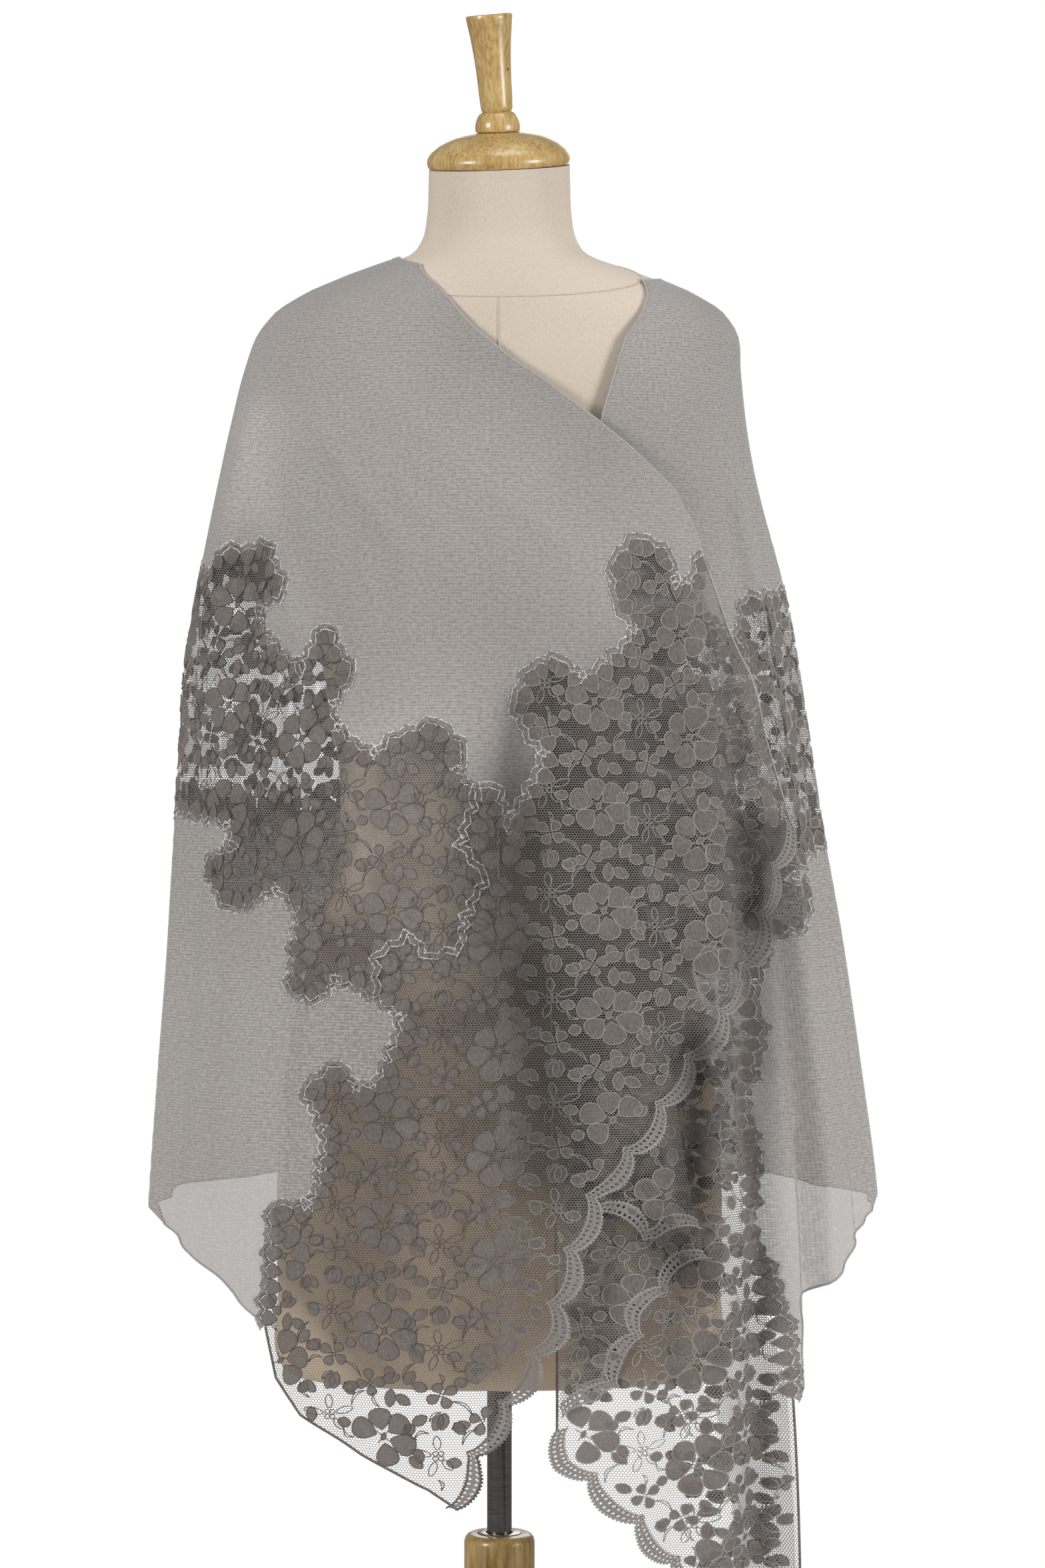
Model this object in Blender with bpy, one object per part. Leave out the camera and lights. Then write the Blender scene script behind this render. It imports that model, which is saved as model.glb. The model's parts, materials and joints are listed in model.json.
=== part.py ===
"""Lace shawl on a limbless dress form, with the form's turned wooden stand.

The shawl is one long stole of crepe with lace let into it. It lies over both shoulders, runs once round
the back, and its two ends cross in front: the end from the left shoulder lies over the end from the right.
Metres, +Z up. X runs to the right and -Y to the front. The origin is on the floor under the pole.
"""
import math

import bmesh
import bpy
import numpy as np
from mathutils.geometry import delaunay_2d_cdt

# Driving sizes of the cloth
WALL = 0.0016               # thickness of the cloth and lace walls
SEAM_GAP = 0.0003           # between two pieces at a seam
OVERLAP_RISE = 0.015        # how far the over end lies in front of the under end
FORM_CLEARANCE = 0.0011     # between the cloth's inner face and the top of the form's shoulders
SHOULDER_TOP = 1.412        # below this height the form's shoulder rounds away from the cloth
SHOULDER_EASE = 0.14        # by this much for each metre down
UNROLL_RADIUS = 0.25        # angles round the body are unrolled with this radius
SQUARENESS = 2.2            # exponent of the oval sections, 2 is an ellipse
STEP_ROUND = 0.0185         # spacing of the wall's points round the body
STEP_DOWN = 0.046           # down the hanging cloth
STEP_SHOULDER = 0.021       # and over the shoulders
SHOULDER_DROP = 0.200       # length of the shoulder stretch, from the neck

# Driving sizes of the form and stand
FLOOR_REACH = 0.312         # each foot's tip, from the pole's axis
POLE_RADIUS = 0.010
POLE_BOTTOM = 0.135
POLE_TOP = 0.640
HUB_RADIUS = 0.0285
HUB_TOP = 0.420
HUB_BOTTOM = 0.105
HUB_BORE = 0.0108
TORSO_BOTTOM = 0.552
SOCKET_DEPTH = 0.095
KNOB_HEIGHT = 0.380
KNOB_BEARING = -104.0       # degrees from +X, so the knob points to the front and a little left

# Oval sections of the hanging cloth: height, half width to the left and right, depth to the front and back
SECTIONS = (
    (1.4565, 0.0665, 0.0665, 0.0640, 0.0690),
    (1.4515, 0.0780, 0.0780, 0.0670, 0.0740),
    (1.4455, 0.0970, 0.0970, 0.0710, 0.0800),
    (1.4355, 0.1250, 0.1250, 0.0780, 0.0870),
    (1.4225, 0.1560, 0.1560, 0.0840, 0.0960),
    (1.4080, 0.1800, 0.1800, 0.0920, 0.1040),
    (1.3900, 0.1950, 0.1925, 0.1000, 0.1120),
    (1.3600, 0.2060, 0.1950, 0.1120, 0.1210),
    (1.3200, 0.2160, 0.1990, 0.1260, 0.1290),
    (1.2600, 0.2290, 0.2090, 0.1450, 0.1380),
    (1.1900, 0.2430, 0.2240, 0.1570, 0.1450),
    (1.1000, 0.2540, 0.2390, 0.1640, 0.1520),
    (1.0000, 0.2585, 0.2540, 0.1680, 0.1580),
    (0.9000, 0.2635, 0.2715, 0.1710, 0.1640),
    (0.8000, 0.2710, 0.2860, 0.1740, 0.1700),
    (0.7000, 0.2780, 0.2990, 0.1770, 0.1750),
    (0.6000, 0.2830, 0.3050, 0.1790, 0.1780),
    (0.2800, 0.2860, 0.3080, 0.1800, 0.1800),
)

# Hanging folds: degrees round the cloth at the fold's head and foot, half width and rise in metres (a trough is
# negative), and the heights of its head and foot. Under-end folds are a full turn back, at -360 degrees.
FOLDS = (
    (2, 2, 0.013, -0.013, 1.13, 0.52),
    (10, 9, 0.014, 0.008, 1.16, 0.56),
    (-14, -9, 0.016, 0.006, 1.08, 0.50),
    (-27, -22, 0.018, -0.005, 1.02, 0.50),
    (34, 27, 0.011, -0.006, 1.20, 0.74),
    (40, 33, 0.010, 0.006, 1.22, 0.78),
    (46, 39, 0.010, -0.006, 1.20, 0.84),
    (52, 45, 0.010, 0.006, 1.19, 0.92),
    (-60, -64, 0.020, 0.009, 1.42, 1.12),
    (-52, -50, 0.020, -0.006, 1.30, 0.60),
    (-78, -80, 0.020, 0.006, 1.24, 0.60),
    (-66, -67, 0.018, -0.006, 1.10, 0.58),
    (-99, -97, 0.024, -0.008, 1.32, 0.62),
    (-116, -113, 0.024, 0.009, 1.34, 0.62),
    (-133, -130, 0.024, -0.009, 1.36, 0.62),
    (-150, -148, 0.026, 0.007, 1.30, 0.62),
    (-168, -167, 0.026, -0.008, 1.34, 0.62),
    (-186, -187, 0.028, 0.008, 1.28, 0.62),
    (-204, -206, 0.026, -0.009, 1.34, 0.62),
    (-222, -225, 0.024, 0.009, 1.34, 0.62),
    (-240, -243, 0.022, -0.009, 1.36, 0.62),
    (-256, -259, 0.020, 0.007, 1.32, 0.62),
    (-276, -276, 0.018, 0.006, 1.30, 0.64),
    (-288, -287, 0.014, -0.007, 1.40, 0.62),
    (-299, -302, 0.012, 0.007, 1.38, 0.40),
    (-306, -309, 0.011, -0.014, 1.00, 0.30),
    (-312, -315, 0.011, 0.009, 0.93, 0.30),
    (-319, -322, 0.011, -0.010, 0.90, 0.30),
    (-326, -329, 0.012, 0.009, 0.84, 0.30),
    (-334, -336, 0.012, -0.008, 0.88, 0.36),
    (-342, -343, 0.012, 0.007, 0.76, 0.40),
)

# The torso's own sections: height, half width, depth to the front and back, and the ring's middle towards +Y
TORSO_SECTIONS = (
    (0.5520, 0.1690, 0.1060, 0.1180, 0.000),
    (0.5560, 0.1740, 0.1110, 0.1230, 0.000),
    (0.6200, 0.1790, 0.1160, 0.1310, 0.000),
    (0.7200, 0.1790, 0.1160, 0.1330, 0.000),
    (0.8200, 0.1690, 0.1080, 0.1210, 0.000),
    (0.9200, 0.1450, 0.0980, 0.1030, 0.000),
    (1.0000, 0.1290, 0.0930, 0.0920, 0.000),
    (1.0800, 0.1350, 0.1000, 0.0960, 0.000),
    (1.1600, 0.1520, 0.1240, 0.1040, 0.000),
    (1.2200, 0.1630, 0.1360, 0.1080, 0.000),
    (1.2800, 0.1710, 0.1300, 0.1100, 0.000),
    (1.3300, 0.1800, 0.1150, 0.1110, 0.000),
    (1.3650, 0.1860, 0.1030, 0.1090, 0.000),
)
SHOULDER_HEIGHTS = (1.385, 1.397, 1.408, 1.416, 1.4225, 1.4295, 1.4355, 1.4410, 1.4455, 1.4490)
NECK_SECTIONS = (
    (1.4560, 0.0690, 0.0600, 0.0650, 0.000),
    (1.4660, 0.0625, 0.0570, 0.0600, -0.001),
    (1.4850, 0.0585, 0.0545, 0.0560, -0.004),
    (1.5100, 0.0572, 0.0540, 0.0545, -0.008),
    (1.5240, 0.0568, 0.0540, 0.0540, -0.011),
)
NECK_TILT = math.radians(12.0)      # the neck's top plane drops to the front
NECK_ROLL = math.radians(-2.2)      # and its right end stands a little higher
HANDLE_LEAN = math.radians(-2.6)    # the handle leans a little more to the left than its cap
HANDLE_SEAT = 0.0443                # its foot, above the neck's top
TORSO_SIDES = 32

# Edges of the cloth in the front view, as X and height. Those of the over end come first.
OVER_NECK = (
    (-0.063, 1.438), (-0.047, 1.417), (-0.023, 1.387), (0.008, 1.359), (0.038, 1.337), (0.075, 1.306),
    (0.099, 1.284), (0.129, 1.251), (0.145, 1.221), (0.151, 1.201), (0.171, 1.146), (0.185, 1.109),
    (0.196, 1.067), (0.218, 0.995),
)
OVER_END = (
    (0.218, 0.995), (0.199, 0.938), (0.187, 0.885), (0.152, 0.825), (0.122, 0.779), (0.101, 0.747),
    (0.074, 0.718), (0.052, 0.662), (0.039, 0.610), (0.011, 0.560), (-0.021, 0.509), (-0.030, 0.477),
)
OVER_HEM = (
    (-0.030, 0.477), (-0.051, 0.492), (-0.103, 0.516), (-0.150, 0.543), (-0.170, 0.570), (-0.179, 0.609),
)
OVER_HEM_SIDE = ((-0.179, 0.609), (-0.206, 0.632), (-0.243, 0.659), (-0.268, 0.679))
UNDER_NECK = (
    (0.114, 1.427), (0.100, 1.377), (0.078, 1.303), (0.058, 1.220), (0.042, 1.135),
)
UNDER_NECK_LACE = ((0.042, 1.135), (0.040, 1.026), (0.041, 0.787), (0.045, 0.608), (0.045, 0.534))
UNDER_END = ((0.045, 0.534), (0.054, 0.510), (0.081, 0.486), (0.113, 0.456), (0.133, 0.431), (0.232, 0.333))
UNDER_HEM = ((0.232, 0.333), (0.228, 0.449), (0.224, 0.552))
UNDER_HEM_SIDE = (
    (0.224, 0.552), (0.238, 0.560), (0.243, 0.582), (0.236, 0.606), (0.246, 0.629), (0.277, 0.656), (0.2975, 0.687),
)

# Seams between crepe and lace in the front view, each corner a petal's tip or the notch between two
OVER_LACE_TOP = (
    (0.151, 1.201), (0.143, 1.175), (0.127, 1.178), (0.126, 1.198), (0.105, 1.212), (0.086, 1.195), (0.089, 1.165),
    (0.105, 1.143), (0.084, 1.116), (0.061, 1.102), (0.045, 1.119), (0.027, 1.113), (0.014, 1.088), (0.023, 1.068),
    (0.039, 1.050), (0.025, 1.015), (0.008, 0.992), (-0.007, 1.023), (-0.017, 1.014),
)
BAND_TOP_FRONT = (
    (-0.017, 1.014), (-0.036, 1.037), (-0.028, 1.050), (-0.044, 1.070), (-0.073, 1.061), (-0.093, 1.044),
    (-0.126, 1.066), (-0.129, 1.090), (-0.112, 1.110), (-0.132, 1.145), (-0.150, 1.112), (-0.180, 1.134),
    (-0.191, 1.162), (-0.167, 1.178), (-0.182, 1.212), (-0.212, 1.205), (-0.224, 1.189), (-0.238, 1.200),
)
LACE_JOINT = (
    (-0.017, 1.014), (-0.029, 0.980), (-0.008, 0.956), (-0.025, 0.925), (-0.026, 0.903), (-0.050, 0.893),
    (-0.066, 0.912), (-0.092, 0.893), (-0.088, 0.865),
)
BAND_FOOT_FRONT = (
    (-0.088, 0.865), (-0.124, 0.881), (-0.137, 0.864), (-0.158, 0.867), (-0.151, 0.932), (-0.172, 0.951),
    (-0.190, 0.936), (-0.212, 0.932), (-0.233, 0.962), (-0.209, 0.975), (-0.212, 0.999), (-0.246, 1.016),
)
OVER_LACE_SIDE = (
    (-0.088, 0.865), (-0.066, 0.850), (-0.077, 0.815), (-0.091, 0.792), (-0.110, 0.790), (-0.120, 0.809),
    (-0.146, 0.792), (-0.129, 0.765), (-0.130, 0.731), (-0.141, 0.699), (-0.172, 0.700), (-0.173, 0.658),
    (-0.179, 0.609),
)
UNDER_LACE_TOP = ((0.042, 1.135), (0.075, 1.112), (0.098, 1.141), (0.130, 1.118), (0.152, 1.150), (0.187, 1.137))
UNDER_LACE_JOINT = ((0.187, 1.137), (0.199, 1.095), (0.186, 1.050), (0.203, 1.005), (0.192, 0.960), (0.213, 0.905))
BAND_TOP_RIGHT = ((0.187, 1.137), (0.193, 1.168), (0.2215, 1.177))
BAND_FOOT_RIGHT = ((0.213, 0.905), (0.240, 0.925), (0.243, 0.944), (0.226, 0.952), (0.240, 0.969), (0.2555, 0.989))
UNDER_LACE_SIDE = (
    (0.213, 0.905), (0.193, 0.875), (0.200, 0.830), (0.190, 0.784), (0.199, 0.735), (0.194, 0.686), (0.207, 0.645),
    (0.219, 0.601), (0.224, 0.552),
)

# The hidden back repeats the band's petals at an even pitch
LEFT_SIDE = -90.0
RIGHT_SIDE = -270.0
BAND_TOP_BACK = (1.200, 1.178)      # heights at the left and right side
BAND_FOOT_BACK = (1.014, 0.988)
PETAL_PITCH = 0.076
PETAL_DEPTH = 0.020
HEM_BACK = (0.688, 0.687)
HEM_BACK_DIP = 0.015                # the hem rises this much at the middle of the back
BACK_NECK = ((-60, 1.4475), (-100, 1.4495), (-140, 1.4440), (-180, 1.4330), (-215, 1.4300), (-250, 1.4345))
SCALLOP_PITCH = 0.043
SCALLOP_DEPTH = 0.011


def material(name, colour, roughness, metallic=0.0):
    made = bpy.data.materials.new(name)
    made.use_nodes = True
    shader = made.node_tree.nodes["Principled BSDF"]
    shader.inputs["Base Color"].default_value = (*colour, 1.0)
    shader.inputs["Roughness"].default_value = roughness
    shader.inputs["Metallic"].default_value = metallic
    return made


def smooth_step(value, low, high):
    part = np.clip((np.asarray(value, dtype=float) - low) / (high - low), 0.0, 1.0)
    return part * part * (3.0 - 2.0 * part)


def smooth_between(at, keys, values):
    """Reads a table with a smooth curve through its rows (keys rising)."""
    at = np.clip(at, keys[0], keys[-1])
    slopes = np.gradient(values, keys)
    row = np.clip(np.searchsorted(keys, at, side="right") - 1, 0, len(keys) - 2)
    width = keys[row + 1] - keys[row]
    part = (at - keys[row]) / width
    return (
        values[row] * (1 + 2 * part) * (1 - part) ** 2
        + slopes[row] * width * part * (1 - part) ** 2
        + values[row + 1] * part ** 2 * (3 - 2 * part)
        - slopes[row + 1] * width * part ** 2 * (1 - part)
    )


def drop_table():
    """The distance down the cloth from the neck, over the shoulder's curve, for each section."""
    table = np.array(SECTIONS)
    half = (table[:, 1] + table[:, 2]) / 2
    steps = np.hypot(np.diff(table[:, 0]), np.diff(half))
    return table, np.concatenate(([0.0], np.cumsum(steps)))


TABLE, DROPS = drop_table()


def drop_at(height):
    return float(np.interp(-height, -TABLE[:, 0], DROPS))


def to_rows(flat):
    """Flat points in units of the wall's point spacing, closer over the shoulders."""
    flat = np.asarray(flat, dtype=float)
    near = np.minimum(flat[:, 1], SHOULDER_DROP) / STEP_SHOULDER
    far = np.maximum(flat[:, 1] - SHOULDER_DROP, 0.0) / STEP_DOWN
    return np.stack((flat[:, 0] / STEP_ROUND, near + far), axis=1)


def from_rows(rows):
    rows = np.asarray(rows, dtype=float)
    shoulder = SHOULDER_DROP / STEP_SHOULDER
    near = np.minimum(rows[:, 1], shoulder) * STEP_SHOULDER
    far = np.maximum(rows[:, 1] - shoulder, 0.0) * STEP_DOWN
    return np.stack((rows[:, 0] * STEP_ROUND, near + far), axis=1)


def smooth_oval(angle, drop):
    """A point of the cloth's plain oval form, without folds."""
    height = np.interp(drop, DROPS, TABLE[:, 0])
    left, right, front, back = (smooth_between(drop, DROPS, TABLE[:, i]) for i in range(1, 5))
    across, ahead = np.sin(angle), np.cos(angle)
    half = np.where(across < 0, left, right)
    deep = np.where(ahead > 0, front, back)
    power = 2.0 / SQUARENESS
    return np.stack((
        half * np.sign(across) * np.abs(across) ** power,
        -deep * np.sign(ahead) * np.abs(ahead) ** power,
        height,
    ), axis=-1)


def fold_rise(angle, drop):
    """How far the folds stand out of the plain form, and the over end out of the under end."""
    degrees = np.degrees(angle)
    height = np.interp(drop, DROPS, TABLE[:, 0])
    rise = OVERLAP_RISE * smooth_step(degrees, -45.0, -5.0) * smooth_step(-height, -1.37, -1.24)
    for head, foot, width, depth, top, bottom in FOLDS:
        along = np.clip((top - height) / (top - bottom), 0.0, 1.0)
        middle = head + (foot - head) * along
        away = np.radians(degrees - middle) * UNROLL_RADIUS / width
        fade = smooth_step(top - height, 0.0, 0.16) * smooth_step(height - bottom, -0.10, 0.04)
        rise = rise + depth * np.exp(-away * away) * fade
    return rise


def outward(angle, drop):
    """The plain form's normal, from a short turn and a short slide down it."""
    turn = 0.02
    slide = 0.004
    round_way = smooth_oval(angle + turn, drop) - smooth_oval(angle - turn, drop)
    down_way = smooth_oval(angle, drop + slide) - smooth_oval(angle, np.maximum(drop - slide, 0.0))
    normal = np.cross(down_way, round_way)
    return normal / np.linalg.norm(normal, axis=1)[:, None]


def on_cloth(flat, lift):
    """Puts flat points (round, down) on the draped form, lifted off it along its normal."""
    angle = flat[:, 0] / UNROLL_RADIUS
    drop = flat[:, 1]
    rise = fold_rise(angle, drop) + lift
    return smooth_oval(angle, drop) + outward(angle, drop) * rise[:, None]


def from_front(points, turns_back=0):
    """Front-view points (X, height) as flat points; the under end is a full turn back."""
    flat = []
    for x, height in points:
        drop = drop_at(height)
        half = float(smooth_between(drop, DROPS, TABLE[:, 1 if x < 0 else 2]))
        across = math.copysign(min(abs(x) / half, 1.0) ** (SQUARENESS / 2), x)
        angle = math.asin(across) - 2 * math.pi * turns_back
        flat.append((angle * UNROLL_RADIUS, drop))
    return flat


def from_side(points):
    """Points given as degrees round the body and height."""
    return [(math.radians(angle) * UNROLL_RADIUS, drop_at(height)) for angle, height in points]


def petal_row(heights):
    """The band's petals across the back, from the left side to the right."""
    length = math.radians(LEFT_SIDE - RIGHT_SIDE) * UNROLL_RADIUS
    count = 2 * round(length / PETAL_PITCH)
    points = []
    for i in range(count + 1):
        part = i / count
        height = heights[0] + (heights[1] - heights[0]) * part
        if 0 < i < count:
            height += PETAL_DEPTH * (0.5 if i % 2 else -0.5)
        points.append((LEFT_SIDE + (RIGHT_SIDE - LEFT_SIDE) * part, height))
    return from_side(points)


def back_hem():
    points = []
    for i in range(10):
        part = i / 9
        height = HEM_BACK[0] + (HEM_BACK[1] - HEM_BACK[0]) * part + HEM_BACK_DIP * math.sin(math.pi * part)
        points.append((LEFT_SIDE + (RIGHT_SIDE - LEFT_SIDE) * part, height))
    return from_side(points)


def scalloped(route, outward):
    """Turns a cut end into a row of round scallops. outward is 1 where they stand to the route's left."""
    points = np.array(route)
    steps = np.hypot(*np.diff(points, axis=0).T)
    length = np.concatenate(([0.0], np.cumsum(steps)))
    count = max(2, round(length[-1] / SCALLOP_PITCH))
    per_scallop = 5
    total = count * per_scallop
    result = []
    for i in range(total + 1):
        at = length[-1] * i / total
        here = np.array([np.interp(at, length, points[:, k]) for k in (0, 1)])
        ahead = np.array([np.interp(min(at + 0.01, length[-1]), length, points[:, k]) for k in (0, 1)])
        behind = np.array([np.interp(max(at - 0.01, 0.0), length, points[:, k]) for k in (0, 1)])
        way = (ahead - behind) / np.linalg.norm(ahead - behind)
        side = np.array([-way[1], way[0]]) * outward
        bulge = SCALLOP_DEPTH * math.sin(math.pi * (i % per_scallop) / per_scallop) ** 0.7
        result.append(tuple(here + side * bulge))
    return result


def refined(route):
    """Cuts an edge's long runs to the wall's point spacing, the same from either end."""
    result = [route[0]]
    for start, end in zip(route[:-1], route[1:]):
        run = np.abs(np.diff(to_rows((start, end)), axis=0))
        pieces = max(1, math.ceil(run.max() - 0.15))
        for i in range(1, pieces + 1):
            part = i / pieces
            result.append((start[0] + (end[0] - start[0]) * part, start[1] + (end[1] - start[1]) * part))
    return result


def joined(*routes):
    """One closed outline from edges that follow each other."""
    outline = []
    for route in routes:
        outline.extend(refined(route)[:-1])
    return np.array(outline)


def drawn_in(outline):
    """Moves an outline in by half the seam gap, measured on the cloth."""
    angle = outline[:, 0] / UNROLL_RADIUS
    reach = 0.002
    here = smooth_oval(angle, outline[:, 1])
    beside = smooth_oval(angle + reach / UNROLL_RADIUS, outline[:, 1])
    stretch = np.linalg.norm(beside - here, axis=1) / reach
    scale = np.stack((np.maximum(stretch, 0.2), np.ones(len(outline))), axis=1)
    area = np.sum(outline[:, 0] * np.roll(outline[:, 1], -1) - outline[:, 1] * np.roll(outline[:, 0], -1))
    inward = 1.0 if area > 0 else -1.0
    before = (outline - np.roll(outline, 1, axis=0)) * scale
    after = (np.roll(outline, -1, axis=0) - outline) * scale
    before /= np.linalg.norm(before, axis=1)[:, None]
    after /= np.linalg.norm(after, axis=1)[:, None]
    left_before = np.stack((-before[:, 1], before[:, 0]), axis=1)
    left_after = np.stack((-after[:, 1], after[:, 0]), axis=1)
    middle = left_before + left_after
    length = np.maximum(np.sum(middle * left_before, axis=1), 0.5)
    return outline + inward * (SEAM_GAP / 2) * (middle / length[:, None]) / scale


def inside_points(outline):
    """Staggered rows of points inside an outline, clear of its edge."""
    shape = to_rows(outline)
    starts, ends = shape, np.roll(shape, -1, axis=0)
    low, high = shape.min(axis=0), shape.max(axis=0)
    found = []
    for row in range(math.ceil(low[1]), math.floor(high[1]) + 1):
        shift = 0.5 * (row % 2)
        columns = np.arange(math.floor(low[0]), math.ceil(high[0]) + 1) + shift
        for column in columns:
            point = np.array((column, row))
            spans = (starts[:, 1] > row) != (ends[:, 1] > row)
            run = ends[spans] - starts[spans]
            cross = starts[spans, 0] + (row - starts[spans, 1]) / run[:, 1] * run[:, 0]
            if np.count_nonzero(cross > column) % 2 == 0:
                continue
            side = ends - starts
            along = np.clip(np.sum((point - starts) * side, axis=1) / np.sum(side * side, axis=1), 0.0, 1.0)
            away = np.linalg.norm(point - starts - side * along[:, None], axis=1)
            if away.min() > 0.48:
                found.append(point)
    return np.array(found).reshape(-1, 2)


def cloth_wall(name, outline, finish):
    """A closed wall of the cloth's thickness over an outline, draped on the form."""
    edge = drawn_in(outline)
    points = np.vstack((to_rows(edge), inside_points(edge)))
    ring = list(range(len(edge)))
    rows, _, faces, _, _, _ = delaunay_2d_cdt(points.tolist(), [], [ring], 1, 1e-7)
    flat = from_rows([tuple(v) for v in rows])
    outer = on_cloth(flat, WALL / 2)
    inner = on_cloth(flat, -WALL / 2)
    mesh = bmesh.new()
    outer_verts = [mesh.verts.new(p) for p in outer]
    inner_verts = [mesh.verts.new(p) for p in inner]
    for face in faces:
        mesh.faces.new([outer_verts[i] for i in face])
        mesh.faces.new([inner_verts[i] for i in reversed(face)])
    mesh.verts.index_update()
    rim = [edge for edge in mesh.edges if edge.is_boundary and edge.verts[0].index < len(outer)]
    for edge in rim:
        first, second = (v.index for v in edge.verts)
        mesh.faces.new((outer_verts[first], outer_verts[second], inner_verts[second], inner_verts[first]))
    bmesh.ops.recalc_face_normals(mesh, faces=mesh.faces)
    return finished(name, mesh, finish)


def finished(name, mesh, finish, sharp=50.0):
    """Makes the named object from a bmesh, shaded smooth but for its sharp edges."""
    data = bpy.data.meshes.new(name)
    mesh.to_mesh(data)
    mesh.free()
    data.materials.append(finish)
    data.shade_smooth()
    data.set_sharp_from_angle(angle=math.radians(sharp))
    made = bpy.data.objects.new(name, data)
    bpy.context.scene.collection.objects.link(made)
    return made


def lofted(name, rings, finish, sharp=50.0):
    """A closed solid through rings of equal point count, listed from the bottom up."""
    mesh = bmesh.new()
    loops = [[mesh.verts.new(p) for p in ring] for ring in rings]
    count = len(loops[0])
    for low, high in zip(loops[:-1], loops[1:]):
        for i in range(count):
            j = (i + 1) % count
            mesh.faces.new((low[i], low[j], high[j], high[i]))
    mesh.faces.new(list(reversed(loops[0])))
    mesh.faces.new(loops[-1])
    bmesh.ops.recalc_face_normals(mesh, faces=mesh.faces)
    return finished(name, mesh, finish, sharp)


def turned(name, profile, sides, finish, sharp=40.0):
    """A solid turned on the Z axis from (radius, height) rows, bottom to top."""
    rings = []
    for radius, height in profile:
        corners = (2 * math.pi * i / sides for i in range(sides))
        rings.append([(radius * math.cos(a), radius * math.sin(a), height) for a in corners])
    return lofted(name, rings, finish, sharp)


def turned_tube(name, outside, bore, sides, finish, sharp=40.0):
    """A turned solid with a round hole right through it."""
    mesh = bmesh.new()
    profile = list(outside) + [(bore, outside[-1][1]), (bore, outside[0][1])]
    loops = []
    for radius, height in profile:
        corners = (2 * math.pi * i / sides for i in range(sides))
        loops.append([mesh.verts.new((radius * math.cos(a), radius * math.sin(a), height)) for a in corners])
    for low, high in zip(loops, loops[1:] + loops[:1]):
        for i in range(sides):
            j = (i + 1) % sides
            mesh.faces.new((low[i], low[j], high[j], high[i]))
    bmesh.ops.recalc_face_normals(mesh, faces=mesh.faces)
    return finished(name, mesh, finish, sharp)


def cut(target, cutter):
    """Takes the cutter's shape out of the target."""
    cutter.hide_render = True
    cutter.display_type = "WIRE"
    tool = target.modifiers.new("cut", "BOOLEAN")
    tool.operation = "DIFFERENCE"
    tool.solver = "EXACT"
    tool.object = cutter


def oval_ring(height, half, front, back, middle, sides):
    ring = []
    power = 2.0 / SQUARENESS
    for i in range(sides):
        angle = 2 * math.pi * i / sides
        across, ahead = math.sin(angle), math.cos(angle)
        deep = front if ahead > 0 else back
        x = half * math.copysign(abs(across) ** power, across)
        y = middle - deep * math.copysign(abs(ahead) ** power, ahead)
        ring.append((x, y, height))
    return ring


def make_torso(finish):
    """The jersey-covered bust form, whole under the cloth, with a socket for the pole in its underside."""
    rings = [oval_ring(*section, TORSO_SIDES) for section in TORSO_SECTIONS]
    angles = np.arange(TORSO_SIDES) * 2 * math.pi / TORSO_SIDES
    for height in SHOULDER_HEIGHTS:
        drops = np.full(TORSO_SIDES, drop_at(height))
        inset = WALL / 2 + FORM_CLEARANCE + max(SHOULDER_TOP - height, 0.0) * SHOULDER_EASE
        rings.append((smooth_oval(angles, drops) - outward(angles, drops) * inset).tolist())
    neck_start, neck_top = NECK_SECTIONS[1][0], NECK_SECTIONS[-1][0]
    for height, half, front, back, middle in NECK_SECTIONS:
        tip = float(smooth_step(height, neck_start, neck_top))
        ring = oval_ring(height, half, front, back, middle, TORSO_SIDES)
        rings.append([
            (x, y, z + tip * ((y - middle) * math.tan(NECK_TILT) - x * math.tan(NECK_ROLL)))
            for x, y, z in ring
        ])
    torso = lofted("torso", rings, finish)
    socket = turned("socket_cutter", ((HUB_BORE, TORSO_BOTTOM - 0.02), (HUB_BORE, TORSO_BOTTOM + SOCKET_DEPTH)), 24,
                    finish)
    cut(torso, socket)


def make_neck_pieces(wood):
    """The domed wooden cap on the neck, its ring and the flared handle, all leaning with the neck."""
    base_height, base_middle = NECK_SECTIONS[-1][0], NECK_SECTIONS[-1][4]
    frame = bpy.data.objects.new("neck_top", None)
    bpy.context.scene.collection.objects.link(frame)
    frame.location = (0.0, base_middle, base_height)
    frame.rotation_euler = (NECK_TILT, NECK_ROLL, 0.0)
    cap_profile = (
        (0.0560, 0.0004), (0.0578, 0.0024), (0.0582, 0.0060), (0.0570, 0.0100), (0.0500, 0.0170), (0.0380, 0.0235),
        (0.0230, 0.0272), (0.0170, 0.0280),
    )
    cap = turned("neck_cap", cap_profile, 32, wood)
    ring_profile = (
        (0.0140, 0.0283), (0.0168, 0.0300), (0.0180, 0.0345), (0.0168, 0.0395), (0.0140, 0.0420), (0.0110, 0.0440),
    )
    ring = turned("cap_ring", ring_profile, 24, wood)
    handle_profile = (
        (0.0112, 0.0010), (0.0128, 0.0037), (0.0134, 0.0117), (0.0140, 0.0277), (0.0152, 0.0457), (0.0170, 0.0617),
        (0.0184, 0.0717), (0.0186, 0.0752), (0.0170, 0.0769),
    )
    handle = turned("handle", handle_profile, 24, wood)
    handle.location = (0.0, 0.0, HANDLE_SEAT)
    handle.rotation_euler = (0.0, HANDLE_LEAN, 0.0)
    for piece in (cap, ring, handle):
        piece.parent = frame


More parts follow.
